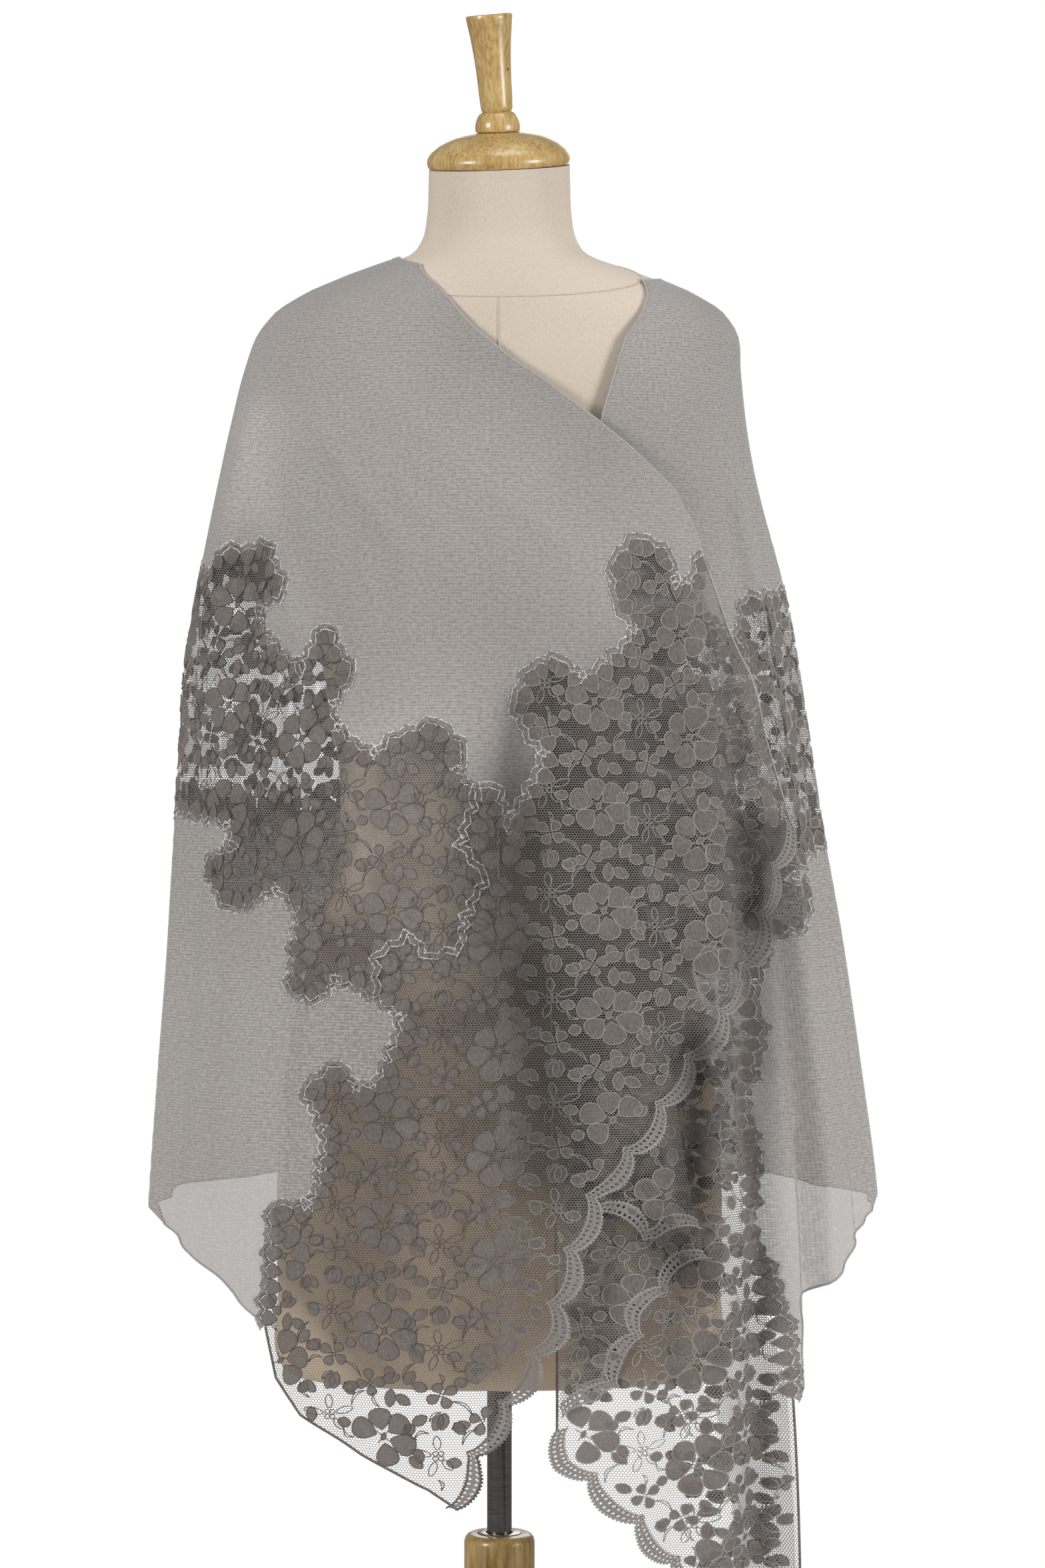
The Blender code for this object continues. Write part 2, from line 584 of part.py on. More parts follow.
def make_stand(wood, chrome, plastic, steel):
    """The pole, and the hub with its inset ring, clamp knob and four legs."""
    turned("pole", ((POLE_RADIUS - 0.001, POLE_BOTTOM), (POLE_RADIUS, POLE_BOTTOM + 0.001),
                    (POLE_RADIUS, POLE_TOP - 0.001), (POLE_RADIUS - 0.001, POLE_TOP)), 24, chrome)
    recess = 0.0178
    hub_profile = (
        (0.0250, HUB_BOTTOM), (0.0285, HUB_BOTTOM + 0.006), (0.0285, 0.200), (0.0268, 0.208), (0.0268, 0.330),
        (0.0285, 0.338), (HUB_RADIUS, HUB_TOP - 0.006), (HUB_RADIUS - 0.0025, HUB_TOP - 0.0012),
        (HUB_RADIUS - 0.0060, HUB_TOP), (recess, HUB_TOP), (recess, HUB_TOP - 0.0040),
    )
    hub = turned_tube("hub", hub_profile, HUB_BORE, 32, wood)
    turned_tube("hub_ring", ((recess - 0.0003, HUB_TOP - 0.0037), (recess - 0.0003, HUB_TOP + 0.0002),
                             (recess - 0.0010, HUB_TOP + 0.0008)), HUB_BORE + 0.0004, 32, steel)
    bearing = math.radians(KNOB_BEARING)
    knob_frame = bpy.data.objects.new("knob_axis", None)
    bpy.context.scene.collection.objects.link(knob_frame)
    knob_frame.location = (0.0, 0.0, KNOB_HEIGHT)
    knob_frame.rotation_euler = (0.0, math.pi / 2, bearing)
    screw_radius = 0.0035
    knob_profile = (
        (screw_radius, 0.0116), (screw_radius, 0.0330), (0.0100, 0.0334), (0.0110, 0.0345), (0.0110, 0.0430),
        (0.0195, 0.0480), (0.0210, 0.0500), (0.0210, 0.0600), (0.0185, 0.0640), (0.0100, 0.0655),
    )
    knob = turned("clamp_knob", knob_profile, 24, plastic)
    knob.parent = knob_frame
    bore = turned("knob_bore_cutter", ((screw_radius + 0.0005, 0.0050), (screw_radius + 0.0005, 0.0400)), 16, steel)
    bore.parent = knob_frame
    cut(hub, bore)
    make_legs(wood)


def make_legs(wood):
    """Four curved legs, each a flat sawn board that ends against the hub in a level foot."""
    thick = 0.020
    route = ((0.0290, 0.158), (0.070, 0.164), (0.130, 0.148), (0.190, 0.108), (0.245, 0.056), (0.285, 0.021))
    depths = (0.056, 0.050, 0.044, 0.038, 0.034, 0.028)
    for number in range(4):
        mesh = bmesh.new()
        upper, lower = [], []
        for (reach, height), depth in zip(route, depths):
            slope = 0.0 if reach < 0.1 else min((reach - 0.1) * 4.2, 0.72)
            upper.append((reach + math.sin(slope) * depth / 2, height + math.cos(slope) * depth / 2))
            lower.append((reach - math.sin(slope) * depth / 2, height - math.cos(slope) * depth / 2))
        upper.append((FLOOR_REACH, 0.012))
        upper.append((FLOOR_REACH, 0.0))
        lower.append((0.262, 0.0))
        upper[0] = (0.0290, upper[0][1])
        lower[0] = (0.0290, lower[0][1])
        outline = upper + lower[::-1]
        near = [mesh.verts.new((reach, -thick / 2, height)) for reach, height in outline]
        far = [mesh.verts.new((reach, thick / 2, height)) for reach, height in outline]
        mesh.faces.new(near)
        mesh.faces.new(far[::-1])
        for i in range(len(outline)):
            j = (i + 1) % len(outline)
            mesh.faces.new((near[i], near[j], far[j], far[i]))
        bmesh.ops.recalc_face_normals(mesh, faces=mesh.faces)
        leg = finished(f"leg_{number + 1}", mesh, wood)
        leg.rotation_euler = (0.0, 0.0, number * math.pi / 2)


def make_shawl(crepe, lace):
    """All the shawl's pieces, cut from shared seam lines."""
    over_neck = from_front(OVER_NECK)
    lace_start = OVER_NECK.index(OVER_LACE_TOP[0])
    left_neck = from_side(((LEFT_SIDE, 1.4490), BACK_NECK[0])) + over_neck[:1]
    back_neck = from_side(((LEFT_SIDE, 1.4490),) + BACK_NECK[1:] + ((RIGHT_SIDE, 1.4345),))
    under_neck = from_side(((RIGHT_SIDE, 1.4345),)) + from_front(UNDER_NECK, 1)
    left_top = from_side(((LEFT_SIDE, BAND_TOP_BACK[0]),))
    left_foot = from_side(((LEFT_SIDE, BAND_FOOT_BACK[0]),))
    right_top = from_side(((RIGHT_SIDE, BAND_TOP_BACK[1]),))
    right_foot = from_side(((RIGHT_SIDE, BAND_FOOT_BACK[1]),))
    band_top_left = from_front(BAND_TOP_FRONT)[:-1] + left_top
    band_foot_left = from_front(BAND_FOOT_FRONT)[:-1] + left_foot
    band_top_right = from_front(BAND_TOP_RIGHT, 1)[:-1] + right_top
    band_foot_right = from_front(BAND_FOOT_RIGHT, 1)[:-1] + right_foot
    top_back, foot_back, hem_back = petal_row(BAND_TOP_BACK), petal_row(BAND_FOOT_BACK), back_hem()
    hem_left = from_front(OVER_HEM_SIDE)[:-1] + hem_back[:1]
    hem_right = from_front(UNDER_HEM_SIDE, 1)[:-1] + hem_back[-1:]
    lace_top = from_front(OVER_LACE_TOP)
    lace_joint = from_front(LACE_JOINT)
    lace_side = from_front(OVER_LACE_SIDE)
    under_top = from_front(UNDER_LACE_TOP, 1)
    under_joint = from_front(UNDER_LACE_JOINT, 1)
    under_side = from_front(UNDER_LACE_SIDE, 1)

    def side(start, end):
        return [start, end]

    outlines = {
        "over_front_cloth": joined(
            side(left_top[0], left_neck[0]), left_neck, over_neck[:lace_start + 1], lace_top, band_top_left),
        "back_cloth": joined(
            side(top_back[0], back_neck[0]), back_neck, side(back_neck[-1], top_back[-1]), top_back[::-1]),
        "under_front_cloth": joined(
            under_neck, under_top, band_top_right, side(right_top[0], under_neck[0])),
        "hem_cloth_left": joined(
            band_foot_left, side(left_foot[0], hem_left[-1]), hem_left[::-1], lace_side[::-1]),
        "hem_cloth_back": joined(
            foot_back, side(foot_back[-1], hem_back[-1]), hem_back[::-1], side(hem_back[0], foot_back[0])),
        "hem_cloth_right": joined(
            band_foot_right, side(right_foot[0], hem_right[-1]), hem_right[::-1], under_side[::-1]),
        "lace_band_left": joined(
            band_top_left, side(left_top[0], left_foot[0]), band_foot_left[::-1], lace_joint[::-1]),
        "lace_band_back": joined(
            top_back, side(top_back[-1], foot_back[-1]), foot_back[::-1], side(foot_back[0], top_back[0])),
        "lace_band_right": joined(
            band_top_right, side(right_top[0], right_foot[0]), band_foot_right[::-1], under_joint[::-1]),
        "over_front_lace": joined(
            over_neck[lace_start:], scalloped(from_front(OVER_END), -1), from_front(OVER_HEM), lace_side[::-1],
            lace_joint[::-1], lace_top[::-1]),
        "under_front_lace": joined(
            from_front(UNDER_NECK_LACE, 1), scalloped(from_front(UNDER_END, 1), 1), from_front(UNDER_HEM, 1),
            under_side[::-1], under_joint[::-1], under_top[::-1]),
    }
    for name, outline in outlines.items():
        cloth_wall(name, outline, lace if "lace" in name else crepe)


def main():
    for thing in list(bpy.data.objects):
        bpy.data.objects.remove(thing, do_unlink=True)
    crepe = material("wool_silk_crepe", (0.42, 0.39, 0.37), 0.85)
    lace = material("corded_lace", (0.30, 0.27, 0.26), 0.75)
    jersey = material("stretched_jersey", (0.65, 0.58, 0.50), 0.90)
    maple = material("lacquered_maple", (0.68, 0.47, 0.20), 0.35)
    chrome = material("chromed_tube", (0.75, 0.75, 0.76), 0.12, 1.0)
    steel = material("brushed_ring", (0.55, 0.54, 0.52), 0.35, 1.0)
    plastic = material("moulded_plastic", (0.02, 0.02, 0.02), 0.40)
    make_torso(jersey)
    make_neck_pieces(maple)
    make_stand(maple, chrome, plastic, steel)
    make_shawl(crepe, lace)


main()
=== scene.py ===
"""The looks of a lace shawl draped on a limbless dress form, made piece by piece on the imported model.

Metres, +Z up, X to the viewer's right and -Y to the front. A point of the cloth laid flat is (across, up):
across runs round the body from the middle of the front, and up is minus the way down from the neck.
"""
import json
import math

import bmesh
import bpy
import numpy as np
from mathutils import Euler, Matrix, Vector
from mathutils.geometry import delaunay_2d_cdt

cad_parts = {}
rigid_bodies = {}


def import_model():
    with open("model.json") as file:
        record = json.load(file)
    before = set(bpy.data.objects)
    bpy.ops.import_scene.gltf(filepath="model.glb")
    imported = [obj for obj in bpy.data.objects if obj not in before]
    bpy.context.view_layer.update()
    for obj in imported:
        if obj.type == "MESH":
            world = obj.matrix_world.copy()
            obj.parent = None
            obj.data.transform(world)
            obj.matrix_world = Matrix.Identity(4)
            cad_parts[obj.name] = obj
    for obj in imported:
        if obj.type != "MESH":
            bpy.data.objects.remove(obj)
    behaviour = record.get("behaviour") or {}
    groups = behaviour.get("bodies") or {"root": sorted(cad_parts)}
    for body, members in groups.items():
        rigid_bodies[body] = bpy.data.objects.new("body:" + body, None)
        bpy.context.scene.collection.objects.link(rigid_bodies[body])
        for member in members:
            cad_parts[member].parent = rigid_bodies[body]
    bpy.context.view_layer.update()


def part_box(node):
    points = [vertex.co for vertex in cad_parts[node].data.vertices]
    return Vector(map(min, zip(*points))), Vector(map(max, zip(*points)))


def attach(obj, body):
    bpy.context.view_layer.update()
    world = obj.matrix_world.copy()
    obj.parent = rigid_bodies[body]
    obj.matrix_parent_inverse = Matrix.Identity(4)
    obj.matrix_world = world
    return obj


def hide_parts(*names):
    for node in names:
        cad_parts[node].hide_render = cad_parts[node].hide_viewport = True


for thing in list(bpy.data.objects):
    bpy.data.objects.remove(thing, do_unlink=True)
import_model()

# The form's body
# A limbless bust of padded papier-mache under one stretched layer of cream jersey, seamed down the middle
# of the front and round the root of the neck. Its shoulders fill the cloth's own oval sections.
SQUARENESS = 2.2            # exponent of the oval sections, 2 is an ellipse
SHOULDER_INSET = 0.0019     # from the cloth's middle to the top of the shoulders
SHOULDER_TOP = 1.412        # below this height the shoulders round away from the cloth
SHOULDER_EASE = 0.14        # by this much for each metre down
NECK_TILT = math.radians(12.0)
NECK_ROLL = math.radians(-2.2)
SOCKET_RADIUS = 0.0108
SOCKET_DEPTH = 0.095

# Oval sections of the hanging cloth: height, half width to the left and right, depth to the front and back
CLOTH_SECTIONS = np.array((
    (1.4565, 0.0665, 0.0665, 0.0640, 0.0690),
    (1.4515, 0.0780, 0.0780, 0.0670, 0.0740),
    (1.4455, 0.0970, 0.0970, 0.0710, 0.0800),
    (1.4355, 0.1250, 0.1250, 0.0780, 0.0870),
    (1.4225, 0.1560, 0.1560, 0.0840, 0.0960),
    (1.4080, 0.1800, 0.1800, 0.0920, 0.1040),
    (1.3900, 0.1950, 0.1925, 0.1000, 0.1120),
    (1.3600, 0.2060, 0.1950, 0.1120, 0.1210),
    (1.3200, 0.2160, 0.1990, 0.1260, 0.1290),
    (1.2600, 0.2290, 0.2090, 0.1450, 0.1380),
    (1.1900, 0.2430, 0.2240, 0.1570, 0.1450),
    (1.1000, 0.2540, 0.2390, 0.1640, 0.1520),
    (1.0000, 0.2585, 0.2540, 0.1680, 0.1580),
    (0.9000, 0.2635, 0.2715, 0.1710, 0.1640),
    (0.8000, 0.2710, 0.2860, 0.1740, 0.1700),
    (0.7000, 0.2780, 0.2990, 0.1770, 0.1750),
    (0.6000, 0.2830, 0.3050, 0.1790, 0.1780),
    (0.2800, 0.2860, 0.3080, 0.1800, 0.1800),
))

# The body's own sections: height, half width, depth to the front and back, and the middle towards +Y
BODY_SECTIONS = (
    (0.5520, 0.1690, 0.1060, 0.1180, 0.000),
    (0.5560, 0.1740, 0.1110, 0.1230, 0.000),
    (0.6200, 0.1790, 0.1160, 0.1310, 0.000),
    (0.7200, 0.1790, 0.1160, 0.1330, 0.000),
    (0.8200, 0.1690, 0.1080, 0.1210, 0.000),
    (0.9200, 0.1450, 0.0980, 0.1030, 0.000),
    (1.0000, 0.1290, 0.0930, 0.0920, 0.000),
    (1.0800, 0.1350, 0.1000, 0.0960, 0.000),
    (1.1600, 0.1520, 0.1240, 0.1040, 0.000),
    (1.2200, 0.1630, 0.1360, 0.1080, 0.000),
    (1.2800, 0.1710, 0.1300, 0.1100, 0.000),
    (1.3300, 0.1800, 0.1150, 0.1110, 0.000),
    (1.3650, 0.1860, 0.1030, 0.1090, 0.000),
)
SHOULDER_HEIGHTS = (1.385, 1.397, 1.408, 1.416, 1.4225, 1.4295, 1.4355, 1.4410, 1.4455, 1.4490)
NECK_SECTIONS = (
    (1.4560, 0.0690, 0.0600, 0.0650, 0.000),
    (1.4660, 0.0625, 0.0570, 0.0600, -0.001),
    (1.4850, 0.0585, 0.0545, 0.0560, -0.004),
    (1.5100, 0.0572, 0.0540, 0.0545, -0.008),
    (1.5240, 0.0568, 0.0540, 0.0540, -0.011),
)
BODY_SIDES = 96


def linear(code):
    """A hex colour, as seen on screen, as the linear colour that a shader takes."""
    parts = [int(code[i:i + 2], 16) / 255 for i in (1, 3, 5)]
    return (*(p / 12.92 if p <= 0.04045 else ((p + 0.055) / 1.055) ** 2.4 for p in parts), 1.0)


def put(tree, kind, settings=None, inputs=None):
    """Adds a node with its settings, and sets or links its inputs, which are named or counted."""
    node = tree.nodes.new(kind)
    for name, value in (settings or {}).items():
        setattr(node, name, value)
    for name, value in (inputs or {}).items():
        if isinstance(value, bpy.types.NodeSocket):
            tree.links.new(value, node.inputs[name])
        else:
            node.inputs[name].default_value = value
    return node


def new_finish(name, **plain):
    """A material, its tree and its Principled shader, with plain values on the shader's sockets."""
    finish = bpy.data.materials.new(name)
    finish.use_nodes = True
    shader = finish.node_tree.nodes["Principled BSDF"]
    for socket, value in plain.items():
        shader.inputs[socket.replace("_", " ")].default_value = value
    return finish, finish.node_tree, shader


PAINTED_LIGHT_FINISHES = []               # finishes with painted shade and painted light, from their pieces' "light" values


def paint_fold_light(finish, colour):
    """Sets a finish's colour with painted shade and painted light: multiplied by the "light" values stored on its
    pieces.
    """
    tree = finish.node_tree
    light = put(tree, "ShaderNodeAttribute", {"attribute_name": "light"}).outputs["Fac"]
    mixed = put(tree, "ShaderNodeMix", {"data_type": "RGBA", "blend_type": "MULTIPLY"}, {0: 1.0, 6: colour, 7: light})
    tree.links.new(mixed.outputs[2], tree.nodes["Principled BSDF"].inputs["Base Color"])
    PAINTED_LIGHT_FINISHES.append(finish)


def smooth_step(value, low, high):
    part = np.clip((np.asarray(value, dtype=float) - low) / (high - low), 0.0, 1.0)
    return part * part * (3.0 - 2.0 * part)


def smooth_between(at, keys, rows):
    """Reads a table with a smooth curve through its rows (keys rising)."""
    at = np.clip(at, keys[0], keys[-1])
    slopes = np.gradient(rows, keys, axis=0)
    row = np.clip(np.searchsorted(keys, at, side="right") - 1, 0, len(keys) - 2)
    width = keys[row + 1] - keys[row]
    part = (at - keys[row]) / width
    if rows.ndim > 1:
        width, part = width[..., None], part[..., None]
    return (
        rows[row] * (1 + 2 * part) * (1 - part) ** 2
        + slopes[row] * width * part * (1 - part) ** 2
        + rows[row + 1] * part ** 2 * (3 - 2 * part)
        - slopes[row + 1] * width * part ** 2 * (1 - part)
    )


def travelled(points):
    """The way along a row of points to each of them."""
    steps = np.linalg.norm(np.diff(points, axis=0), axis=1)
    return np.concatenate(([0.0], np.cumsum(steps)))


half_widths = (CLOTH_SECTIONS[:, 1] + CLOTH_SECTIONS[:, 2]) / 2
section_drops = travelled(np.stack((CLOTH_SECTIONS[:, 0], half_widths), axis=1))


def drop_at(height):
    return np.interp(-np.asarray(height, dtype=float), -CLOTH_SECTIONS[:, 0], section_drops)


def smooth_oval(angle, drop):
    """A point of the cloth's plain oval form, without folds."""
    height = np.interp(drop, section_drops, CLOTH_SECTIONS[:, 0])
    left, right, front, back = smooth_between(drop, section_drops, CLOTH_SECTIONS[:, 1:]).T
    across, ahead = np.sin(angle), np.cos(angle)
    half = np.where(across < 0, left, right)
    deep = np.where(ahead > 0, front, back)
    power = 2.0 / SQUARENESS
    return np.stack((
        half * np.sign(across) * np.abs(across) ** power,
        -deep * np.sign(ahead) * np.abs(ahead) ** power,
        height,
    ), axis=-1)


def outward(angle, drop):
    """The plain form's normal, from a short turn and a short slide down it."""
    turn = 0.02
    slide = 0.004
    round_way = smooth_oval(angle + turn, drop) - smooth_oval(angle - turn, drop)
    down_way = smooth_oval(angle, drop + slide) - smooth_oval(angle, np.maximum(drop - slide, 0.0))
    normal = np.cross(down_way, round_way)
    return normal / np.linalg.norm(normal, axis=1)[:, None]


def oval_ring(height, half, front, back, middle):
    angles = np.arange(BODY_SIDES) * 2 * math.pi / BODY_SIDES
    across, ahead = np.sin(angles), np.cos(angles)
    power = 2.0 / SQUARENESS
    x = half * np.sign(across) * np.abs(across) ** power
    y = middle - np.where(ahead > 0, front, back) * np.sign(ahead) * np.abs(ahead) ** power
    return np.stack((x, y, np.full(BODY_SIDES, height)), axis=1)


def new_piece(name, points, faces, finish, sharp=40.0):
    """A named mesh object, shaded smooth but for its sharp edges."""
    data = bpy.data.meshes.new(name)
    data.from_pydata([tuple(p) for p in points], [], faces)
    data.materials.append(finish)
    data.shade_smooth()
    data.set_sharp_from_angle(angle=math.radians(sharp))
    made = bpy.data.objects.new(name, data)
    bpy.context.scene.collection.objects.link(made)
    return made


def lofted(name, rings, finish, sharp=40.0):
    """A closed solid through rings of equal point count that turn to the left, from the bottom up."""
    rings = np.asarray(rings, dtype=float)
    sides = rings.shape[1]
    faces = [list(range(sides))[::-1]]
    for low in range(len(rings) - 1):
        for i in range(sides):
            j = (i + 1) % sides
            faces.append((low * sides + i, low * sides + j, (low + 1) * sides + j, (low + 1) * sides + i))
    faces.append([(len(rings) - 1) * sides + i for i in range(sides)])
    return new_piece(name, rings.reshape(-1, 3), faces, finish, sharp)


body_rings = [oval_ring(*section) for section in BODY_SECTIONS]
body_angles = np.arange(BODY_SIDES) * 2 * math.pi / BODY_SIDES
for height in SHOULDER_HEIGHTS:
    drops = np.full(BODY_SIDES, drop_at(height))
    inset = SHOULDER_INSET + max(SHOULDER_TOP - height, 0.0) * SHOULDER_EASE
    body_rings.append(smooth_oval(body_angles, drops) - outward(body_angles, drops) * inset)
neck_start, neck_top, neck_middle = NECK_SECTIONS[1][0], NECK_SECTIONS[-1][0], NECK_SECTIONS[-1][4]
for section in NECK_SECTIONS:
    ring = oval_ring(*section)
    tip = smooth_step(section[0], neck_start, neck_top)
    ring[:, 2] += tip * ((ring[:, 1] - section[4]) * math.tan(NECK_TILT) - ring[:, 0] * math.tan(NECK_ROLL))
    body_rings.append(ring)
body_rings = np.array(body_rings)
ring_keys = np.concatenate(([0.0], np.cumsum(
    np.linalg.norm(np.diff(body_rings, axis=0), axis=2).mean(axis=1))))
ring_count = 150
fine_keys = np.linspace(ring_keys[1], ring_keys[-1], ring_count)
fine_rings = smooth_between(fine_keys, ring_keys, body_rings.reshape(len(body_rings), -1))
body_rings = np.concatenate((body_rings[:1], fine_rings.reshape(ring_count, BODY_SIDES, 3)))

# Stretched cotton jersey: fine matt knit whose wales run up the body, darker low down, with painted shade and light
jersey, tree, shader = new_finish(
    "stretched_cotton_jersey", Roughness=0.92, Sheen_Weight=0.15, Sheen_Roughness=0.6, Specular_IOR_Level=0.2)
place = put(tree, "ShaderNodeTexCoord").outputs["Object"]
WALES = 900.0               # knit columns in a metre, drawn 1.1 mm wide so that they show
stretched = put(tree, "ShaderNodeMapping", {}, {"Vector": place, "Scale": (1.0, 1.0, 0.45)}).outputs[0]
knit = put(tree, "ShaderNodeTexNoise", {}, {"Vector": stretched, "Scale": WALES, "Detail": 1.0}).outputs[0]
cloudy = put(tree, "ShaderNodeTexNoise", {}, {"Vector": place, "Scale": 9.0, "Detail": 3.0}).outputs[0]
tone = put(tree, "ShaderNodeMix", {"data_type": "RGBA"}, {0: cloudy, 6: linear("#d3c5b4"), 7: linear("#e0d3c4")})
up = put(tree, "ShaderNodeSeparateXYZ", {}, {0: place}).outputs[2]
# Below 1.06 m the colour turns browner and darker, fully so at 0.72 m
height_ramp = put(tree, "ShaderNodeMapRange", {}, {0: up, 1: 0.72, 2: 1.06}).outputs[0]
browner_low = put(tree, "ShaderNodeMix", {"data_type": "RGBA"}, {0: height_ramp, 6: linear("#cbb59c"), 7: tone.outputs[2]})
speck = put(tree, "ShaderNodeMix", {"data_type": "RGBA", "blend_type": "MULTIPLY"}, {
    0: 0.25, 6: browner_low.outputs[2], 7: knit})
# painted shade and painted light from the folds' "light" values
paint_fold_light(jersey, speck.outputs[2])
bump = put(tree, "ShaderNodeBump", {}, {"Strength": 0.4, "Distance": 0.0003, "Height": knit})
tree.links.new(bump.outputs[0], shader.inputs["Normal"])

form_body = lofted("form_body", body_rings, jersey, 60.0)
socket_rings = []
for height in (0.53, 0.552 + SOCKET_DEPTH):
    corners = (2 * math.pi * i / 32 for i in range(32))
    socket_rings.append([(SOCKET_RADIUS * math.cos(a), SOCKET_RADIUS * math.sin(a), height) for a in corners])
socket = lofted("socket", socket_rings, jersey)
bore = form_body.modifiers.new("bore", "BOOLEAN")
bore.operation, bore.solver, bore.object = "DIFFERENCE", "EXACT", socket
bpy.context.view_layer.update()
shape = bpy.data.meshes.new_from_object(form_body.evaluated_get(bpy.context.evaluated_depsgraph_get()))
form_body.modifiers.clear()
form_body.data = shape
bpy.data.objects.remove(socket)
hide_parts("torso")
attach(form_body, "dressed_form")

# The jersey's seams
# Two narrow overlocked ridges: one down the middle of the chest and back, one round the neck's root, lower
# in front. They are sewn into the cover, so they stand half proud of it.
NECK_SEAM_HEIGHT = 1.4470
NECK_SEAM_DIP = 0.0370      # lower at the middle of the front
SEAM_RADIUS = 0.0008


def on_body(side, height):
    """The body's point at a height on one of its upright rows."""
    column = body_rings[:, side % BODY_SIDES]
    return [np.interp(height, column[:, 2], column[:, k]) for k in range(3)]


def tube_tree(name):
    """A tree that runs a round tube of a given radius along a mesh line."""
    tree = bpy.data.node_groups.new(name, "GeometryNodeTree")
    tree.interface.new_socket("Geometry", in_out="INPUT", socket_type="NodeSocketGeometry")
    for label, kind in (("Radius", "Float"), ("Sides", "Int"), ("Finish", "Material")):
        tree.interface.new_socket(label, in_out="INPUT", socket_type=f"NodeSocket{kind}")
    tree.interface.new_socket("Geometry", in_out="OUTPUT", socket_type="NodeSocketGeometry")
    given = put(tree, "NodeGroupInput").outputs
    line = put(tree, "GeometryNodeMeshToCurve", {}, {"Mesh": given["Geometry"]})
    round_line = put(tree, "GeometryNodeCurvePrimitiveCircle", {}, {
        "Resolution": given["Sides"], "Radius": given["Radius"]})
    tube = put(tree, "GeometryNodeCurveToMesh", {}, {
        "Curve": line.outputs[0], "Profile Curve": round_line.outputs[0], "Fill Caps": True})
    whole = put(tree, "GeometryNodeRealizeInstances", {}, {0: tube.outputs[0]})
    dressed = put(tree, "GeometryNodeSetMaterial", {}, {"Geometry": whole.outputs[0], "Material": given["Finish"]})
    put(tree, "NodeGroupOutput", {}, {0: dressed.outputs[0]})
    return tree


def grown(name, tree, lines, **values):
    """Grows a tree's shapes from rows of points, as a plain mesh object."""
    verts, edges = [], []
    for line in lines:
        first = len(verts)
        verts.extend(tuple(p) for p in line)
        edges.extend((i, i + 1) for i in range(first, len(verts) - 1))
    seed = bpy.data.meshes.new(name + "_seed")
    seed.from_pydata(verts, edges, [])
    base = bpy.data.objects.new(name + "_seed", seed)
    bpy.context.scene.collection.objects.link(base)
    maker = base.modifiers.new("maker", "NODES")
    maker.node_group = tree
    sockets = {s.name: s.identifier for s in tree.interface.items_tree if s.in_out == "INPUT"}
    for label, value in values.items():
        maker[sockets[label.replace("_", " ")]] = value
    bpy.context.view_layer.update()
    data = bpy.data.meshes.new_from_object(base.evaluated_get(bpy.context.evaluated_depsgraph_get()))
    data.name = name
    bpy.data.objects.remove(base)
    bpy.data.meshes.remove(seed)
    made = bpy.data.objects.new(name, data)
    bpy.context.scene.collection.objects.link(made)
    return made


round_tube = tube_tree("round_tube")
front, back = 0, BODY_SIDES // 2
front_seam = [on_body(front, z) for z in np.linspace(0.560, NECK_SEAM_HEIGHT - NECK_SEAM_DIP, 90)]
back_seam = [on_body(back, z) for z in np.linspace(0.560, NECK_SEAM_HEIGHT, 90)]
neck_seam = []
for side in range(BODY_SIDES + 1):
    ahead = max(math.cos(2 * math.pi * side / BODY_SIDES), 0.0)
    neck_seam.append(on_body(side, NECK_SEAM_HEIGHT - NECK_SEAM_DIP * ahead ** 1.3))
seam_tape, tree, shader = new_finish(
    "overlocked_jersey_seam", Base_Color=linear("#c6b8a8"), Roughness=0.95, Sheen_Weight=0.1)
place = put(tree, "ShaderNodeTexCoord").outputs["Object"]
loops = put(tree, "ShaderNodeTexNoise", {}, {"Vector": place, "Scale": 700.0, "Detail": 1.0}).outputs[0]
tone = put(tree, "ShaderNodeMix", {"data_type": "RGBA"}, {0: loops, 6: linear("#b5a797"), 7: linear("#cdbfaf")})
tree.links.new(tone.outputs[2], shader.inputs["Base Color"])
form_seams = grown("form_seams", round_tube, (front_seam, back_seam, neck_seam), Radius=SEAM_RADIUS, Sides=6,
                   Finish=seam_tape)
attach(form_seams, "dressed_form")

# The neck's cap, ring and handle
# Turned pale hardwood under a glossy honey lacquer: a domed cap, a half-round ring and a flared handle. The
# lacquer gives sharp highlights, and the grain runs up the handle as fine darker streaks with a few pits.
HANDLE_LEAN = math.radians(-2.6)
HANDLE_SEAT = 0.0443        # the handle's foot, above the neck's top


def turned(name, profile, sides, finish, place=None, bore=None, sharp=40.0):
    """A solid turned on Z from (radius, height) rows, bottom to top; bore makes it a tube."""
    place = place or Matrix()
    profile = list(profile) + ([(bore, profile[-1][1]), (bore, profile[0][1])] if bore else [])
    points = []
    for radius, height in profile:
        for i in range(sides):
            angle = 2 * math.pi * i / sides
            points.append(place @ Vector((radius * math.cos(angle), radius * math.sin(angle), height)))
    rows = len(profile)
    faces = [] if bore else [list(range(sides))[::-1], [(rows - 1) * sides + i for i in range(sides)]]
    for row in range(rows if bore else rows - 1):
        low, high = row * sides, (row + 1) % rows * sides
        faces.extend((low + i, low + (i + 1) % sides, high + (i + 1) % sides, high + i) for i in range(sides))
    return new_piece(name, points, faces, finish, sharp)


def eased(profile, count):
    """A turned profile as a smooth curve through its rows."""
    rows = np.array(profile)
    keys = travelled(rows)
    return smooth_between(np.linspace(0.0, keys[-1], count), keys, rows).tolist()


